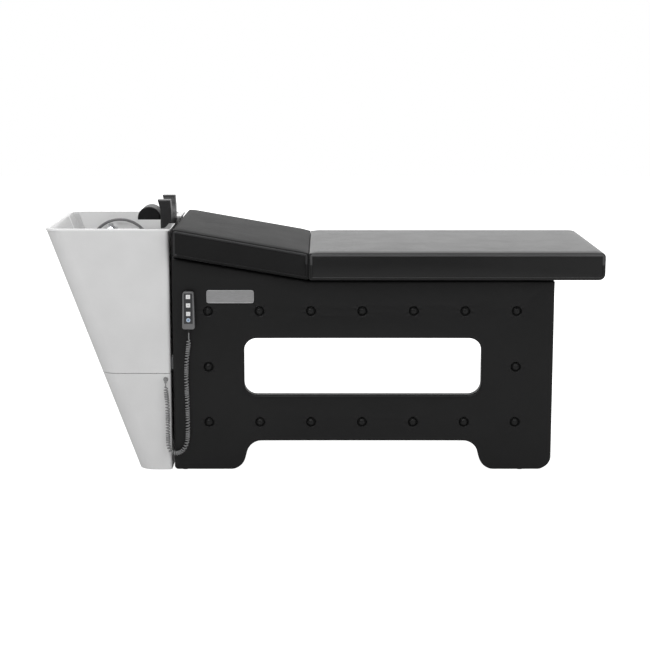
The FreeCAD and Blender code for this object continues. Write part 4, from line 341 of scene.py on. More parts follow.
def plated(name, colour, roughness, stretch=(1.0, 1.0, 1.0), scale=70.0):
    """Zinc plate or brushed metal: grains of slightly different tone."""
    made, tree, shader = surface(name, metallic=1.0)
    where = place_of(tree, stretch)
    grains = add_node(tree, "ShaderNodeTexVoronoi", {"Vector": where, "Scale": scale, "Randomness": 1.0})
    lines = noise(tree, where, scale * 6, 3.0)
    tint = ramp(tree, grains.outputs["Color"], ((0.1, shade(colour, 0.84)), (0.9, shade(colour, 1.1))))
    gloss = spread(tree, lines, roughness - 0.07, roughness + 0.1)
    connect(tree, shader, tint, gloss, bump(tree, lines, 0.00005, 0.35))
    return made


def powder_coat(name, colour, roughness):
    made, tree, shader = surface(name, specular=0.45)
    where = place_of(tree)
    texture = noise(tree, where, 420.0, 4.0, 0.6)
    chips = noise(tree, where, 34.0, 6.0, 0.72)
    tint = ramp(tree, chips, ((0.3, shade(colour, 0.9)), (0.7, shade(colour, 1.1)),
                              (0.86, shade(colour, 1.9))))
    gloss = spread(tree, chips, roughness - 0.05, roughness + 0.1)
    connect(tree, shader, tint, gloss, bump(tree, texture, 0.00012, 0.5))
    return made


def laminate(name, colour):
    """Black laminated board: fine pressed grain and lighter worn patches."""
    made, tree, shader = surface(name, specular=0.35)
    grain = noise(tree, place_of(tree, (8.0, 90.0, 90.0)), 9.0, 5.0, 0.6)
    wear_and_painted_highlight = noise(tree, place_of(tree), 12.0, 5.0, 0.6)
    tint = ramp(tree, wear_and_painted_highlight, ((0.3, shade(colour, 0.85)), (0.7, shade(colour, 1.15)),
                               (0.9, shade(colour, 1.6))))
    gloss = spread(tree, grain, 0.40, 0.55)
    connect(tree, shader, tint, gloss, bump(tree, grain, 0.0001, 0.4))
    return made


def braid(name, colour):
    """Braided steel: two crossing sets of strands."""
    made, tree, shader = surface(name, metallic=0.85)
    where = place_of(tree)
    strands = [add_node(tree, "ShaderNodeTexWave", {"Vector": place_of(tree, stretch), "Scale": 190.0},
                        wave_type="BANDS", bands_direction="DIAGONAL").outputs["Fac"]
               for stretch in ((1.0, 1.0, 1.0), (1.0, 1.0, -1.0))]
    weave = add_node(tree, "ShaderNodeMath", operation="MULTIPLY")
    for index, strand in enumerate(strands):
        tree.links.new(strand, weave.inputs[index])
    tint = ramp(tree, weave.outputs[0], ((0.1, shade(colour, 0.35)), (0.7, colour)))
    gloss = spread(tree, noise(tree, where, 300.0, 3.0), 0.25, 0.45)
    connect(tree, shader, tint, gloss, bump(tree, weave.outputs[0], 0.0004, 0.8))
    return made


def ribbed_hose(name, colour):
    """Smooth hose with a faint spiral under its skin."""
    made, tree, shader = surface(name, specular=0.5, Coat_Weight=0.35, Coat_Roughness=0.18)
    where = place_of(tree)
    rings = add_node(tree, "ShaderNodeTexWave", {"Vector": where, "Scale": 140.0, "Distortion": 0.4},
                     wave_type="BANDS", bands_direction="X")
    tint = ramp(tree, rings.outputs["Fac"], ((0.2, shade(colour, 0.8)), (0.8, shade(colour, 1.15))))
    gloss = spread(tree, noise(tree, where, 80.0, 4.0), 0.28, 0.42)
    connect(tree, shader, tint, gloss, bump(tree, rings.outputs["Fac"], 0.0003, 0.3))
    return made


def white_glaze(name, colour, roughness):
    """Glossy bowl: deep gloss with faint water marks towards its floor."""
    made, tree, shader = surface(name, specular=0.5, Coat_Weight=0.6, Coat_Roughness=0.05)
    where = place_of(tree)
    marks = noise(tree, where, 38.0, 6.0, 0.7)
    tint = ramp(tree, noise(tree, where, 5.0, 3.0), ((0.2, shade(colour, 0.965)), (0.8, colour)))
    gloss = spread(tree, marks, roughness, roughness + 0.12, 0.5, 0.8)
    connect(tree, shader, tint, gloss, bump(tree, noise(tree, where, 45.0, 2.0), 0.0003, 0.12))
    return made


def smoothed(data):
    data.polygons.foreach_set("use_smooth", [True] * len(data.polygons))


def refinish(data, *finishes):
    """Give a mesh these materials in place of its own."""
    data.materials.clear()
    for finish in finishes:
        data.materials.append(finish)


MATERIALS = {
    "black_board": laminate("black_laminate", (0.012, 0.012, 0.0125)),
    "black_vinyl": vinyl("black_vinyl", (0.0038, 0.0038, 0.0040), 0.38, 0.34),
    "steel": powder_coat("black_powder_coat", (0.030, 0.030, 0.033), 0.42),
    "light_steel": powder_coat("grey_paint", (0.42, 0.43, 0.44), 0.45),
    "zinc": plated("zinc_plate", (0.62, 0.63, 0.64), 0.33),
    "black_rubber": textured("black_rubber", (0.018, 0.018, 0.018), 0.72),
    "grey_plastic": textured("grey_plastic", (0.20, 0.205, 0.21), 0.5),
    "black_plastic": textured("black_plastic", (0.016, 0.016, 0.017), 0.42),
    "white_casing": moulded("white_casing", (0.665, 0.665, 0.665), 0.42, specular=0.35),
    "white_bowl": white_glaze("white_bowl", (0.82, 0.82, 0.82), 0.16),
    "chrome": polished("chrome", (0.78, 0.79, 0.81), 0.05),
    "white_plastic": moulded("white_pipe", (0.72, 0.72, 0.70), 0.4),
    "braided_hose": braid("steel_braid", (0.55, 0.56, 0.58)),
    "grey_hose": ribbed_hose("grey_hose", (0.155, 0.155, 0.16)),
    "neck_rubber": textured("neck_rubber", (0.014, 0.014, 0.015), 0.34, 700.0, 0.00008, 0.5),
    "head_rubber": textured("head_rubber", (0.009, 0.009, 0.010), 0.36, 700.0, 0.00008, 0.26),
    "remote_grey": textured("remote_grey", (0.16, 0.16, 0.163), 0.45),
    "keypad_dark": textured("keypad_dark", (0.038, 0.038, 0.040), 0.5),
    "white_key": moulded("white_key", (0.74, 0.74, 0.74), 0.4, 400.0),
    "ring_key": moulded("ring_key", (0.52, 0.60, 0.70), 0.4, 400.0),
    "cord_grey": textured("cord_grey", (0.24, 0.24, 0.243), 0.45),
    "plate_aluminium": plated("plate_aluminium", (0.45, 0.45, 0.455), 0.45, (6.0, 160.0, 160.0), 12.0),
}

for entry in frame["record"]["subparts"]:
    refinish(NODES[entry["node"]].data, MATERIALS[entry["material_slot"]])
    smoothed(NODES[entry["node"]].data)


# Meshes

def link(name, data, slot_name, body):
    """A new object from mesh or curve data that rides on a body and takes a slot's finish."""
    thing = bpy.data.objects.new(name, data)
    SCENE.collection.objects.link(thing)
    if not data.materials:
        data.materials.append(MATERIALS[slot_name])
    if body:
        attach(thing, body)
    return thing


def mesh_from(name, vertices, faces, smooth=True):
    data = bpy.data.meshes.new(name)
    data.from_pydata([tuple(v) for v in vertices], [], faces)
    data.validate()
    data.polygons.foreach_set("use_smooth", [smooth] * len(data.polygons))
    return data


def evaluated(thing):
    """The mesh that an object shows, modifiers included."""
    bpy.context.view_layer.update()
    graph = bpy.context.evaluated_depsgraph_get()
    return bpy.data.meshes.new_from_object(thing.evaluated_get(graph))


def nurbs_curve(name, points, radius, resolution, closed=False):
    """A curve through the pull of its control points, as a tube where it has a radius."""
    data = bpy.data.curves.new(name, "CURVE")
    data.dimensions = "3D"
    data.resolution_u = resolution
    data.bevel_depth = radius
    data.bevel_resolution = 3 if closed else 4
    data.use_fill_caps = radius > 0 and not closed
    spline = data.splines.new("NURBS")
    spline.points.add(len(points) - 1)
    for control, point in zip(spline.points, points):
        control.co = (*point, 1.0)
    spline.use_cyclic_u = closed
    spline.order_u = 3
    spline.use_endpoint_u = not closed
    return data


def line_points(data):
    """Points read along a curve that has no bevel."""
    thing = bpy.data.objects.new(data.name + "_reader", data)
    SCENE.collection.objects.link(thing)
    read = evaluated(thing)
    points = [vertex.co.copy() for vertex in read.vertices]
    bpy.data.objects.remove(thing)
    return points


def tube_mesh(name, points, radius, resolution):
    """A tube along a spline's control points, as a mesh, and the line that it follows."""
    thing = bpy.data.objects.new(name + "_curve", nurbs_curve(name + "_tube", points, radius, resolution))
    SCENE.collection.objects.link(thing)
    data = evaluated(thing)
    data.name = name
    bpy.data.objects.remove(thing)
    smoothed(data)
    return data, line_points(nurbs_curve(name + "_line", points, 0.0, resolution))


# Cords

def along_line(points, marks, distance):
    """Point and direction at a distance along read points."""
    index = min(max(int(np.searchsorted(marks, distance)) - 1, 0), len(points) - 2)
    run = points[index + 1] - points[index]
    share = (distance - marks[index]) / max(run.length, 1e-9)
    return points[index] + run * share, run.normalized()


def curly_points(route):
    """Control points of the curled cord round the line of its route."""
    line = line_points(nurbs_curve("remote_cord_route", route, 0.0, 24))
    marks = np.concatenate([[0.0], np.cumsum([(b - a).length for a, b in zip(line, line[1:])])])
    start, end = CORD_STRAIGHT_START, marks[-1] - CORD_STRAIGHT_END
    across = Vector((0, 1, 0))
    points = [line[0], along_line(line, marks, start / 2)[0]]
    count = CORD_TURNS * POINTS_PER_TURN
    for index in range(count + 1):
        share = index / count
        drift = PITCH_DRIFT * math.sin(2 * math.pi * PITCH_WAVES * share) / (2 * math.pi * PITCH_WAVES)
        centre, direction = along_line(line, marks, start + (end - start) * (share + drift))
        swell = min(share, 1 - share) * CORD_TURNS
        reach = CORD_CURL_RADIUS * (1.0 if swell >= 1 else swell * swell * (3 - 2 * swell))
        angle = 2 * math.pi * CORD_TURNS * share
        side = across.cross(direction)
        points.append(centre + side * (reach * math.cos(angle)) + across * (reach * math.sin(angle)))
    points.append(line[-1])
    return points


def lay_cords():
    route = [Vector((x, REMOTE_CORD_Y, z)) for x, z in REMOTE_CORD_ROUTE]
    data, path = tube_mesh("remote_curly_cord", curly_points(route), CORD_RADIUS, CORD_RESOLUTION)
    cord = link("remote_curly_cord", data, "cord_grey", None)
    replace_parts(cord, "remote_cord")
    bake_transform(cord)
    route = [Vector((x, HOSE_Y, z)) for x, z in HOSE_ROUTE]
    data, path = tube_mesh("shower_hose_arch", route, HOSE_RADIUS, HOSE_RESOLUTION)
    hose = link("shower_hose_arch", data, "grey_hose", None)
    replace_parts(hose, "shower_hose")
    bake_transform(hose)


lay_cords()


# Padded pieces

def positions(data):
    co = np.empty(len(data.vertices) * 3)
    data.vertices.foreach_get("co", co)
    return co.reshape(-1, 3)


def normals(data):
    found = np.empty(len(data.vertices) * 3)
    data.vertex_normals.foreach_get("vector", found)
    return found.reshape(-1, 3)


def set_positions(data, co):
    data.vertices.foreach_set("co", co.astype(np.float32).ravel())
    data.update()


def with_modifier(thing, kind, **settings):
    """Apply one modifier to an object's own mesh."""
    modifier = thing.modifiers.new(kind, kind)
    for key, value in settings.items():
        setattr(modifier, key, value)
    data = evaluated(thing)
    thing.modifiers.clear()
    old, thing.data = thing.data, data
    bpy.data.meshes.remove(old)
    return thing


def puff(thing, held, rise, shrink=0.0, frames=14):
    """How far each vertex moves when the object swells as cloth; held vertices stay."""
    data = thing.data
    rest = positions(data)
    held = np.clip(held, 0, 1)
    small = rest - normals(data) * (shrink * (1 - held))[:, None]
    set_positions(data, small)
    group = thing.vertex_groups.new(name="held")
    for index in np.nonzero(held > 0.02)[0]:
        group.add([int(index)], float(held[index]), "REPLACE")
    modifier = thing.modifiers.new("Cloth", "CLOTH")
    cloth = modifier.settings
    cloth.quality = 4
    cloth.mass = 0.4
    cloth.tension_stiffness = 14
    cloth.compression_stiffness = 14
    cloth.shear_stiffness = 6
    cloth.bending_stiffness = 0.6
    cloth.use_pressure = True
    cloth.uniform_pressure_force = PRESSURE
    cloth.effector_weights.gravity = 0
    cloth.vertex_group_mass = "held"
    modifier.point_cache.frame_start = 1
    modifier.point_cache.frame_end = frames
    for step in range(1, frames + 1):
        SCENE.frame_set(step)
    graph = bpy.context.evaluated_depsgraph_get()
    swollen = positions(thing.evaluated_get(graph).data)
    thing.modifiers.clear()
    thing.vertex_groups.clear()
    SCENE.frame_set(1)
    set_positions(data, rest)
    move = swollen - small
    size = np.linalg.norm(move, axis=1)
    most = max(float(np.percentile(size, 95)), 1e-6)
    return move * (np.minimum(1, 1.3 * most / np.maximum(size, 1e-9)) * rise / most)[:, None]


def corner_frame(corners, index):
    """Directions from a corner to the one before and the one after it, and half the angle between."""
    here = Vector(corners[index])
    before = (Vector(corners[index - 1]) - here).normalized()
    after = (Vector(corners[(index + 1) % len(corners)]) - here).normalized()
    return here, before, after, before.angle(after) / 2


def drawn_in(corners, inset):
    """The corners of an outline that lies inside another by an inset."""
    found = []
    for index in range(len(corners)):
        here, before, after, half = corner_frame(corners, index)
        found.append(tuple(here + (before + after).normalized() * (inset / math.sin(half))))
    return found


def rounded_outline(corners, radii, step):
    """Points and outward directions round an anticlockwise outline of (x, z) corners."""
    arcs = []
    for index, radius in enumerate(radii):
        here, before, after, half = corner_frame(corners, index)
        centre = here + (before + after).normalized() * (radius / math.sin(half))
        first = math.atan2(before.x, -before.y)
        sweep = (math.atan2(-after.x, after.y) - first) % (2 * math.pi)
        turns = [first + sweep * part / ARC_STEPS for part in range(ARC_STEPS + 1)]
        ways = [Vector((math.cos(turn), math.sin(turn))) for turn in turns]
        arcs.append([(centre + way * radius, way) for way in ways])
    outline = []
    for index, arc in enumerate(arcs):
        outline += arc
        start, way = arc[-1]
        end = arcs[(index + 1) % len(arcs)][0][0]
        count = max(1, round((end - start).length / step))
        outline += [(start.lerp(end, part / count), way) for part in range(1, count)]
    return outline


def closed_tube(name, line, radius, slot_name, body):
    """A piping or bead along a closed line."""
    thing = bpy.data.objects.new(name + "_curve", nurbs_curve(name, line, radius, 3, True))
    SCENE.collection.objects.link(thing)
    mesh = evaluated(thing)
    bpy.data.objects.remove(thing)
    smoothed(mesh)
    return link(name, mesh, slot_name, body)


def long_rows(half):
    """Places across the bed and insets of the rows of a cushion, its long edges rounded."""
    turns = [math.pi / 2 * (1 - part / LONG_EDGE_STEPS) for part in range(LONG_EDGE_STEPS)]
    near = [(-(half - LONG_EDGE + LONG_EDGE * math.sin(turn)), LONG_EDGE * (1 - math.cos(turn)))
            for turn in turns]
    count = round(2 * (half - LONG_EDGE) / CUSHION_STEP)
    middle = [((half - LONG_EDGE) * (2 * part / count - 1), 0.0) for part in range(count + 1)]
    return near + middle + [(-place, inset) for place, inset in near[::-1]]


def cushion_form(name, corners, radii, half, crown, seam_side):
    """A cushion's skin from its outline, open at both side faces, and how firmly each vertex is held."""
    outline = rounded_outline(corners, radii, CUSHION_STEP)
    rows = long_rows(half)
    ends = (min(corner[0] for corner in corners), max(corner[0] for corner in corners))
    vertices, held = [], []
    for across, inset in rows:
        wide = min(max((half - abs(across) - HELD_SIDE) / HELD_FADE, 0), 1)
        rolled = min(max((abs(across) - half + ROLL_WIDTH) / ROLL_WIDTH, 0), 1)
        bulge = crown * (1 - (across / half) ** 2) + EDGE_ROLL * (1 - rolled ** 2)
        for place, way in outline:
            end_gap = min(place.x - ends[0], ends[1] - place.x)
            along = min(max((end_gap - HELD_END) / HELD_FADE, 0), 1)
            top = max(way.y, 0)
            lift = bulge * top * min(end_gap / END_FADE, 1)
            tucked = way.x * (SEAM_TUCK if way.x * seam_side > 0 else 1)
            vertices.append((place.x - tucked * inset, across, place.y - way.y * inset + lift))
            held.append(1 - top * wide * along)
    count = len(outline)
    faces = []
    for row in range(len(rows) - 1):
        for index in range(count):
            after = (index + 1) % count
            faces.append((row * count + index, (row + 1) * count + index,
                          (row + 1) * count + after, row * count + after))
    thing = bpy.data.objects.new(name, mesh_from(name, vertices, faces))
    SCENE.collection.objects.link(thing)
    return thing, np.array(held)


def close_sides(data):
    """Fill the two open side faces of a cushion."""
    shape = bmesh.new()
    shape.from_mesh(data)
    bmesh.ops.holes_fill(shape, edges=shape.edges[:], sides=0)
    bmesh.ops.recalc_face_normals(shape, faces=shape.faces[:])
    shape.to_mesh(data)
    shape.free()


def carve(thing, corners, low_y, high_y):
    """Take a prism, an outline of (x, z) corners drawn across the bed, out of a mesh."""
    count = len(corners)
    vertices = [(x, y, z) for y in (low_y, high_y) for x, z in corners]
    faces = [tuple(range(count)), tuple(range(2 * count - 1, count - 1, -1))]
    for index in range(count):
        after = (index + 1) % count
        faces.append((index, index + count, after + count, after))
    tool = bpy.data.objects.new("carving_tool", mesh_from("carving_tool", vertices, faces, False))
    SCENE.collection.objects.link(tool)
    with_modifier(thing, "BOOLEAN", operation="DIFFERENCE", solver="MANIFOLD", object=tool)
    bpy.data.objects.remove(tool)


def board_room(node, slope):
    """The outline and width of the room round a cushion's board."""
    low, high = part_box(node)
    rise = slope * (high.x - low.x)
    left, right = low.x - BOARD_ROOM, high.x + BOARD_ROOM
    outline = [(left, low.z + rise - BOARD_ROOM), (right, low.z - BOARD_ROOM),
               (right, high.z - rise + BOARD_ROOM), (left, high.z + BOARD_ROOM)]
    return outline, low.y - BOARD_ROOM, high.y + BOARD_ROOM


def hinge_rooms():
    """The outline and width of the room round each hinge, near and far."""
    co = np.concatenate([positions(NODES[node].data)
                         for node in ("hinge_pins", "hinge_seat_leaves", "hinge_back_leaves")])
    rooms = []
    for side in (-1, 1):
        mine = co[co[:, 1] * side > 0]
        low, high = mine.min(0) - HINGE_ROOM, mine.max(0) + HINGE_ROOM
        rooms.append(([(low[0], low[2]), (high[0], low[2]), (high[0], high[2]), (low[0], high[2])],
                      low[1], high[1]))
    return rooms


def paint_highlight_above(data, finishes, corner, slope, head_lit):
    """Paint a highlight: the lighter finish on a piping's upper run, and on its head end too where that is
    lit, stands in for the light that falls there.
    """
    refinish(data, *finishes)
    for face in data.polygons:
        middle = face.center
        above = middle.z - corner[1] + slope * (middle.x - corner[0])
        # Painted highlight: faces above the split, and the head end where it is lit, take the lighter vinyl
        wear_and_painted_highlight = above > PIPING_SPLIT or (head_lit and middle.x - corner[0] < 2 * PIPING_INSET)
        face.material_index = int(wear_and_painted_highlight)


def make_cushion(node, board, name, body, finish, highlight_finish, corners, radii, slope, crown, seam_side):
    """A stuffed cushion with piping round both its side faces and room for its board and hinges."""
    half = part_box(node)[1].y
    thing, held = cushion_form(name, corners, radii, half, crown, seam_side)
    set_positions(thing.data, positions(thing.data) + puff(thing, held, CUSHION_RISE))
    with_modifier(thing, "SUBSURF", levels=1, render_levels=1)
    close_sides(thing.data)
    for room in [board_room(board, slope)] + hinge_rooms():
        carve(thing, *room)
    refinish(thing.data, finish)
    smoothed(thing.data)
    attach(thing, body)
    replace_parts(thing, node)
    ring = rounded_outline(drawn_in(corners, PIPING_INSET),
                           [max(radius - PIPING_INSET, PIPING_RADIUS) for radius in radii], CUSHION_STEP)
    for tag, side in (("near", -1), ("far", 1)):
        across = side * (half - PIPING_RADIUS * (1 - PIPING_PROUD))
        line = [Vector((place.x, across, place.y)) for place, _ in ring]
        # The piping's upper run takes the lighter vinyl as a painted highlight; the rest keeps the cushion's
        # own vinyl
        piping = closed_tube(name + "_piping_" + tag, line, PIPING_RADIUS, "black_vinyl", body)
        paint_highlight_above(piping.data, (finish, highlight_finish), corners[0], slope, seam_side > 0)
    return thing


def make_cushions():
    """The seat and the backrest. The seat's head end gives way to the backrest's top edge as it rises."""
    low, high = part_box("seat_cushion")
    low_back, high_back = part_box("backrest_cushion")
    edge = high.z - EDGE_ROLL + EDGE_LIFT
    seat_end, back_end = low.x - SEAM_FILL, high_back.x + SEAM_FILL
    seat = make_cushion("seat_cushion", "seat_board", "padded_seat", "base", SEAT_VINYL, SEAT_HIGHLIGHT_VINYL,
                        [(seat_end, low.z), (high.x, low.z), (high.x, edge), (seat_end, edge)],
                        SEAT_RADII, 0.0, SEAT_CROWN, -1)
    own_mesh(seat)
    length = back_end - low_back.x
    make_cushion("backrest_cushion", "backrest_board", "padded_backrest", "backrest", BACK_VINYL,
                 BACK_HIGHLIGHT_VINYL,
                 [(low_back.x, low_back.z + BACK_SLOPE * length), (back_end, low_back.z), (back_end, edge),
                  (low_back.x, edge + BACK_TOP_SLOPE * length)],
                 BACK_RADII, BACK_SLOPE, BACK_CROWN, 1)


SEAT_VINYL = vinyl("seat_vinyl", (0.0030, 0.0030, 0.0032), 0.31, 0.48)
BACK_VINYL = vinyl("backrest_vinyl", (0.0060, 0.0060, 0.0062), 0.60, 0.24)
# Lighter copies of the cushion vinyl: a painted highlight for the piping's upper run, brighter on the seat
SEAT_HIGHLIGHT_VINYL = vinyl("seat_highlight_vinyl", (0.052, 0.052, 0.053), 0.36, 0.5)
BACK_HIGHLIGHT_VINYL = vinyl("backrest_highlight_vinyl", (0.022, 0.022, 0.023), 0.40, 0.4)
make_cushions()


# Side panels

def button_places():
    """Centres of the upholstery buttons, read from the frame's own buttons."""
    data = NODES["panel_buttons"].data
    co = positions(data)
    left = list(range(len(co)))
    found = []
    while left:
        seed = co[left[0]]
        near = np.abs(co[left] - seed).max(1) < BUTTON_APART
        cluster = co[[index for index, close in zip(left, near) if close]]
        found.append((cluster.min(0) + cluster.max(0)) / 2)
        left = [index for index, close in zip(left, near) if not close]
    return found


BUTTONS = button_places()


def lathe(profile, count):
    """Vertices and faces of a profile of (radius, height) turned round Z; the first radius is 0."""
    vertices = [(0.0, 0.0, profile[0][1])]
    faces = []
    for ring, (radius, height) in enumerate(profile[1:]):
        first = 1 + ring * count
        for index in range(count):
            angle = 2 * math.pi * index / count
            vertices.append((radius * math.cos(angle), radius * math.sin(angle), height))
            after = (index + 1) % count
            if ring == 0:
                faces.append((0, first + index, first + after))
            else:
                inner = first - count
                faces.append((inner + index, first + index, first + after, inner + after))
    return np.array(vertices), faces


def side_buttons():
    """Covered buttons: a crowned cap with a turned-in edge."""
    shape, rings = lathe(BUTTON_PROFILE, BUTTON_SIDES)
    vertices, faces = [], []
    for centre in BUTTONS:
        way = -1.0 if centre[1] < 0 else 1.0
        start = len(vertices)
        seat = way * (PANEL_FACE - BUTTON_SINK)
        for x, y, z in shape:
            vertices.append((centre[0] + x * way, seat + way * z, centre[2] + y))
        faces += [tuple(start + index for index in face[::-1]) for face in rings]
    return link("covered_buttons", mesh_from("covered_buttons", vertices, faces), "black_vinyl", "base")


def fixed_zone(co):
    """How far each point is from the plate and the hook, as a weight of what stays flat."""
    weight = np.zeros(len(co))
    for node, margin in (("side_plate", FITTING_MARGIN), ("remote_hook", FITTING_MARGIN),
                         ("remote_back_shell", 0.0)):
        low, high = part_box(node)
        gap = np.maximum(np.maximum(low.x - co[:, 0], co[:, 0] - high.x),
                         np.maximum(low.z - co[:, 2], co[:, 2] - high.z))
        weight = np.maximum(weight, np.clip(1 - (gap - margin) / FITTING_FADE, 0, 1))
    return weight


def refine(data, centres, reach, side):
    """Split the edges of the padded face that lie near any of the centres."""
    shape = bmesh.new()
    shape.from_mesh(data)
    chosen = []
    for edge in shape.edges:
        middle = (edge.verts[0].co + edge.verts[1].co) / 2
        if middle.y * side < BOARD_FACE + REFINED_BAND:
            continue
        if min(math.hypot(middle.x - centre[0], middle.z - centre[2]) for centre in centres) < reach:
            chosen.append(edge)
    bmesh.ops.subdivide_edges(shape, edges=chosen, cuts=1, use_grid_fill=True, smooth=0.0)
    shape.to_mesh(data)
    shape.free()


def rim_of(data, side):
    """A search tree of a pad's faces, its two flat faces left out."""
    co = positions(data)
    depth = co[:, 1] * side
    flat = np.minimum(np.abs(depth - PANEL_FACE), np.abs(depth - BOARD_FACE)) < FLAT
    faces = [tuple(face.vertices) for face in data.polygons if not flat[list(face.vertices)].all()]
    return BVHTree.FromPolygons([tuple(point) for point in co], faces)


def seat_on(data, rim, side):
    """Bring each vertex to the pad's flat faces, or else to the nearest point of its rim."""
    co = positions(data)
    depth = co[:, 1] * side
    loose = np.ones(len(co), bool)
    for level in (PANEL_FACE, BOARD_FACE):
        close = np.abs(depth - level) < NEARLY_FLAT
        co[close, 1] = side * level
        loose &= ~close
    for index in np.nonzero(loose)[0]:
        co[index] = rim.find_nearest(co[index])[0]
    set_positions(data, co)


def make_pad(node, name, side):
    """An upholstered side panel, drawn in at its buttons."""
    thing = bpy.data.objects.new(name, NODES[node].data.copy())
    SCENE.collection.objects.link(thing)
    rim = rim_of(NODES[node].data, side)
    with_modifier(thing, "REMESH", mode="VOXEL", voxel_size=PAD_VOXEL, use_smooth_shade=True)
    seat_on(thing.data, rim, side)
    co = positions(thing.data)
    depth = co[:, 1] * side
    held = (depth < BOARD_FACE + BACK_BAND).astype(float)
    mine = [centre for centre in BUTTONS if centre[1] * side > 0]
    nearest = np.full(len(co), np.inf)
    for centre in mine:
        nearest = np.minimum(nearest, np.hypot(co[:, 0] - centre[0], co[:, 2] - centre[2]))
    held = np.maximum(held, np.clip(1 - (nearest - BUTTON_HELD) / BUTTON_FADE, 0, 1))
    if side < 0:
        held = np.maximum(held, fixed_zone(co))
    swell = thing.data.attributes.new("swell", "FLOAT_VECTOR", "POINT")
    swell.data.foreach_set("vector", puff(thing, held, PAD_RISE, PAD_SHRINK).astype(np.float32).ravel())
    with_modifier(thing, "SUBSURF", subdivision_type="SIMPLE", levels=1, render_levels=1)
    for reach in REFINED_REACHES:
        refine(thing.data, mine, reach, side)
    seat_on(thing.data, rim, side)
    move = np.empty(len(thing.data.vertices) * 3)
    thing.data.attributes["swell"].data.foreach_get("vector", move)
    thing.data.attributes.remove(thing.data.attributes["swell"])
    co = positions(thing.data) + move.reshape(-1, 3)
    co[:, 0] += WRAP * np.clip((co[:, 0] - co[:, 0].max()) / WRAP_WIDTH + 1, 0, 1)
    front = np.clip((co[:, 1] * side - BOARD_FACE - FOLD_START) / FOLD_FADE, 0, 1)
    for index, centre in enumerate(mine):
        across, up = co[:, 0] - centre[0], co[:, 2] - centre[2]
        reach = np.hypot(across, up)
        near = reach < FOLD_REACH
        turn = np.arctan2(up[near], across[near])
        trench = np.clip(1 - np.abs(reach[near] - TRENCH_RADIUS) / TRENCH_HALF, 0, 1)
        folds = np.cos(7 * turn + index * 1.7) + 0.6 * np.cos(11 * turn + index * 2.9)
        ring = np.exp(-((reach[near] - RING_RADIUS) / RING_WIDTH) ** 2)
        co[near, 1] -= side * front[near] * (TRENCH_DEPTH * trench ** 1.5 + RING_DEPTH * folds * ring)
    set_positions(thing.data, co)
    refinish(thing.data, MATERIALS["black_vinyl"])
    smoothed(thing.data)
    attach(thing, "base")
    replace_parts(thing, node)


make_pad("near_side_pad", "near_upholstery", -1)
make_pad("far_side_pad", "far_upholstery", 1)
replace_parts(side_buttons(), "panel_buttons")


# Small parts seen on the remote and the plate

KEY_PRINT = moulded("key_print", (0.42, 0.42, 0.43), 0.5, 400.0)
LAMP_DARK = moulded("lamp_dark", (0.015, 0.010, 0.010), 0.15, 300.0)
RING_BLUE = moulded("ring_blue", (0.42, 0.52, 0.66), 0.3, 300.0)
RING_CENTRE = moulded("ring_centre", (0.10, 0.17, 0.27), 0.3, 300.0)
PLATE_RIM = plated("plate_rim", (0.62, 0.62, 0.63), 0.35, (6.0, 160.0, 160.0), 12.0)


def plaque(name, outline, y, finish, slot_name, body):
    """A thin printed shape, an anticlockwise outline of (x, z), on a face that looks to the front."""
    data = mesh_from(name, [(x, y, z) for x, z in outline], [tuple(range(len(outline)))], False)
    data.materials.append(finish)
    return link(name, data, slot_name, body)


def disc(centre, radius, count=32):
    return [(centre[0] + radius * math.cos(2 * math.pi * part / count),
             centre[1] + radius * math.sin(2 * math.pi * part / count)) for part in range(count)]


def key_prints():
    """An arrow up, an arrow down and a level bar on the square keys, and the round key's rings."""
    for name, lift in (("backrest_up_button", 1), ("backrest_down_button", -1), ("flat_button", 0)):
        low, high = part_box(name)
        x, z, reach = (low.x + high.x) / 2, (low.z + high.z) / 2, (high.x - low.x) * PRINT_SHARE
        if lift:
            foot = z - lift * ARROW_FOOT
            shape = [(x - reach, foot), (x + reach, foot), (x, z + lift * ARROW_TIP)][::lift]
        else:
            shape = [(x - reach, z - BAR_HALF), (x + reach, z - BAR_HALF),
                     (x + reach, z + BAR_HALF), (x - reach, z + BAR_HALF)]
        plaque(name + "_print", shape, low.y - PRINT_PROUD, KEY_PRINT, "white_key", name)
    low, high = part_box("power_button")
    centre = ((low.x + high.x) / 2, (low.z + high.z) / 2)
    radius = (high.x - low.x) / 2
    plaque("power_button_ring", disc(centre, radius * RING_SHARE), low.y - PRINT_PROUD, RING_BLUE,
           "ring_key", "power_button")
    plaque("power_button_centre", disc(centre, radius * CENTRE_SHARE), low.y - 2 * PRINT_PROUD, RING_CENTRE,
           "ring_key", "power_button")
    pad_low, pad_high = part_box("remote_keypad")
    key_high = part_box("backrest_up_button")[1]
    spot = (centre[0], (pad_high.z + key_high.z) / 2)
    plaque("remote_lamp", disc(spot, LAMP_RADIUS), pad_low.y - PRINT_PROUD, LAMP_DARK,
           "keypad_dark", "remote")


def plate_rim():
    """A raised rim along the edge of the plate."""
    low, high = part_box("side_plate")
    plate = [(low.x, low.z), (high.x, low.z), (high.x, high.z), (low.x, high.z)]
    outline = rounded_outline(drawn_in(plate, PLATE_RIM_INSET), [PLATE_RIM_CORNER] * 4, PLATE_RIM_STEP)
    line = [Vector((place.x, low.y, place.y)) for place, _ in outline]
    rim = closed_tube("side_plate_rim", line, PLATE_RIM_RADIUS, "plate_aluminium", "base")
    refinish(rim.data, PLATE_RIM)


key_prints()
plate_rim()


# Light, floor and camera

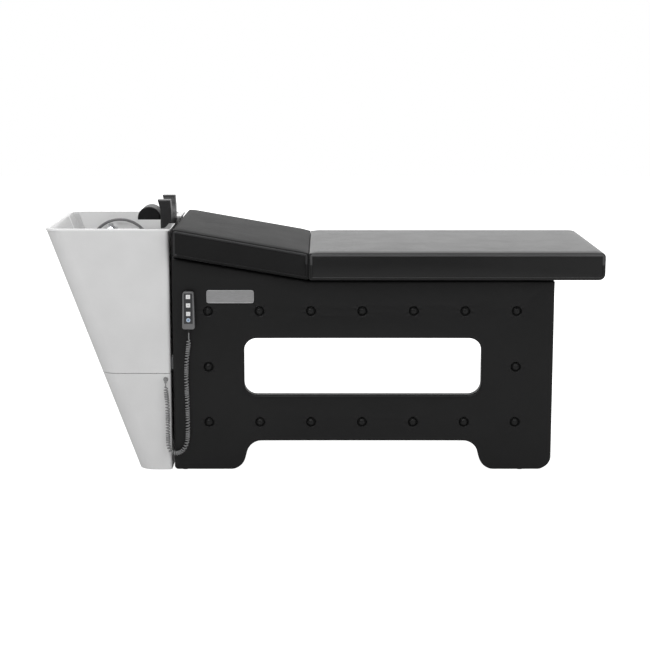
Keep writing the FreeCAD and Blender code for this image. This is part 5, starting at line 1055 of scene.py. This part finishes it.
def world_light():
    """White to look at; in reflections, a bright wall behind the bed and a dimmer room before it."""
    world = bpy.data.worlds.new("studio")
    SCENE.world = world
    world.use_nodes = True
    tree = world.node_tree
    tree.nodes.clear()
    path = add_node(tree, "ShaderNodeLightPath")
    seen = add_node(tree, "ShaderNodeMath", operation="MAXIMUM")
    tree.links.new(path.outputs["Is Camera Ray"], seen.inputs[0])
    tree.links.new(path.outputs["Is Transmission Ray"], seen.inputs[1])
    where = add_node(tree, "ShaderNodeTexCoord")
    axes = add_node(tree, "ShaderNodeSeparateXYZ", {"Vector": where.outputs["Generated"]})
    wall = spread(tree, axes.outputs["Y"], GLOSS_BEFORE, GLOSS_BEHIND, *WALL_TURN)
    ceiling = spread(tree, axes.outputs["Z"], 0.0, GLOSS_ABOVE, *CEILING_TURN)
    both = add_node(tree, "ShaderNodeMath", {0: wall, 1: ceiling}, operation="ADD")
    plain = add_node(tree, "ShaderNodeBackground", {"Color": WHITE, "Strength": SKY_LIGHT})
    glossy = add_node(tree, "ShaderNodeBackground", {"Color": WHITE, "Strength": both.outputs[0]})
    white = add_node(tree, "ShaderNodeBackground", {"Color": WHITE, "Strength": 1.0})
    room = add_node(tree, "ShaderNodeMixShader", {"Fac": path.outputs["Is Glossy Ray"]})
    tree.links.new(plain.outputs[0], room.inputs[1])
    tree.links.new(glossy.outputs[0], room.inputs[2])
    whole = add_node(tree, "ShaderNodeMixShader", {"Fac": seen.outputs[0]})
    tree.links.new(room.outputs[0], whole.inputs[1])
    tree.links.new(white.outputs[0], whole.inputs[2])
    output = add_node(tree, "ShaderNodeOutputWorld")
    tree.links.new(whole.outputs[0], output.inputs["Surface"])


def area_light(name, place, target, size, energy):
    data = bpy.data.lights.new(name, "AREA")
    data.shape = "RECTANGLE"
    data.size, data.size_y = size
    data.energy = energy
    thing = bpy.data.objects.new(name, data)
    SCENE.collection.objects.link(thing)
    thing.location = place
    thing.rotation_euler = (Vector(target) - Vector(place)).to_track_quat("-Z", "Y").to_euler()
    thing.visible_camera = False
    return thing


def pale_floor():
    corners = [(x * FLOOR_HALF, y * FLOOR_HALF, 0) for x, y in ((-1, -1), (1, -1), (1, 1), (-1, 1))]
    data = mesh_from("floor", corners, [(0, 1, 2, 3)], False)
    floor = bpy.data.objects.new("floor", data)
    SCENE.collection.objects.link(floor)
    floor.location.z = -FLOOR_DROP
    made = bpy.data.materials.new("pale_floor")
    made.use_nodes = True
    tree = made.node_tree
    tree.nodes.clear()
    where = place_of(tree)
    tone = ramp(tree, noise(tree, where, 2.0, 2.0), ((0.3, (0.80, 0.80, 0.80)), (0.7, (0.82, 0.82, 0.82))))
    matt = add_node(tree, "ShaderNodeBsdfDiffuse", {"Color": tone})
    path = add_node(tree, "ShaderNodeLightPath")
    glow = add_node(tree, "ShaderNodeEmission", {"Color": WHITE, "Strength": path.outputs["Is Camera Ray"]})
    both = add_node(tree, "ShaderNodeAddShader")
    tree.links.new(matt.outputs[0], both.inputs[0])
    tree.links.new(glow.outputs[0], both.inputs[1])
    output = add_node(tree, "ShaderNodeOutputMaterial")
    tree.links.new(both.outputs[0], output.inputs["Surface"])
    data.materials.append(made)


def set_camera():
    data = bpy.data.cameras.new("photo_camera")
    data.lens = CAMERA_LENS
    data.sensor_width = CAMERA_SENSOR
    camera = bpy.data.objects.new("photo_camera", data)
    SCENE.collection.objects.link(camera)
    camera.location = CAMERA_PLACE
    camera.rotation_euler = (math.radians(LEVEL - CAMERA_DOWN), 0.0, 0.0)
    SCENE.camera = camera


world_light()
pale_floor()
area_light("key", (-1.8, -3.4, 3.6), (-0.2, 0.0, 0.5), (2.6, 2.2), 60.0)
area_light("fill", (2.6, -3.0, 2.4), (0.2, 0.0, 0.5), (2.2, 2.2), 24.0)
set_camera()
SCENE.view_settings.view_transform = "Standard"
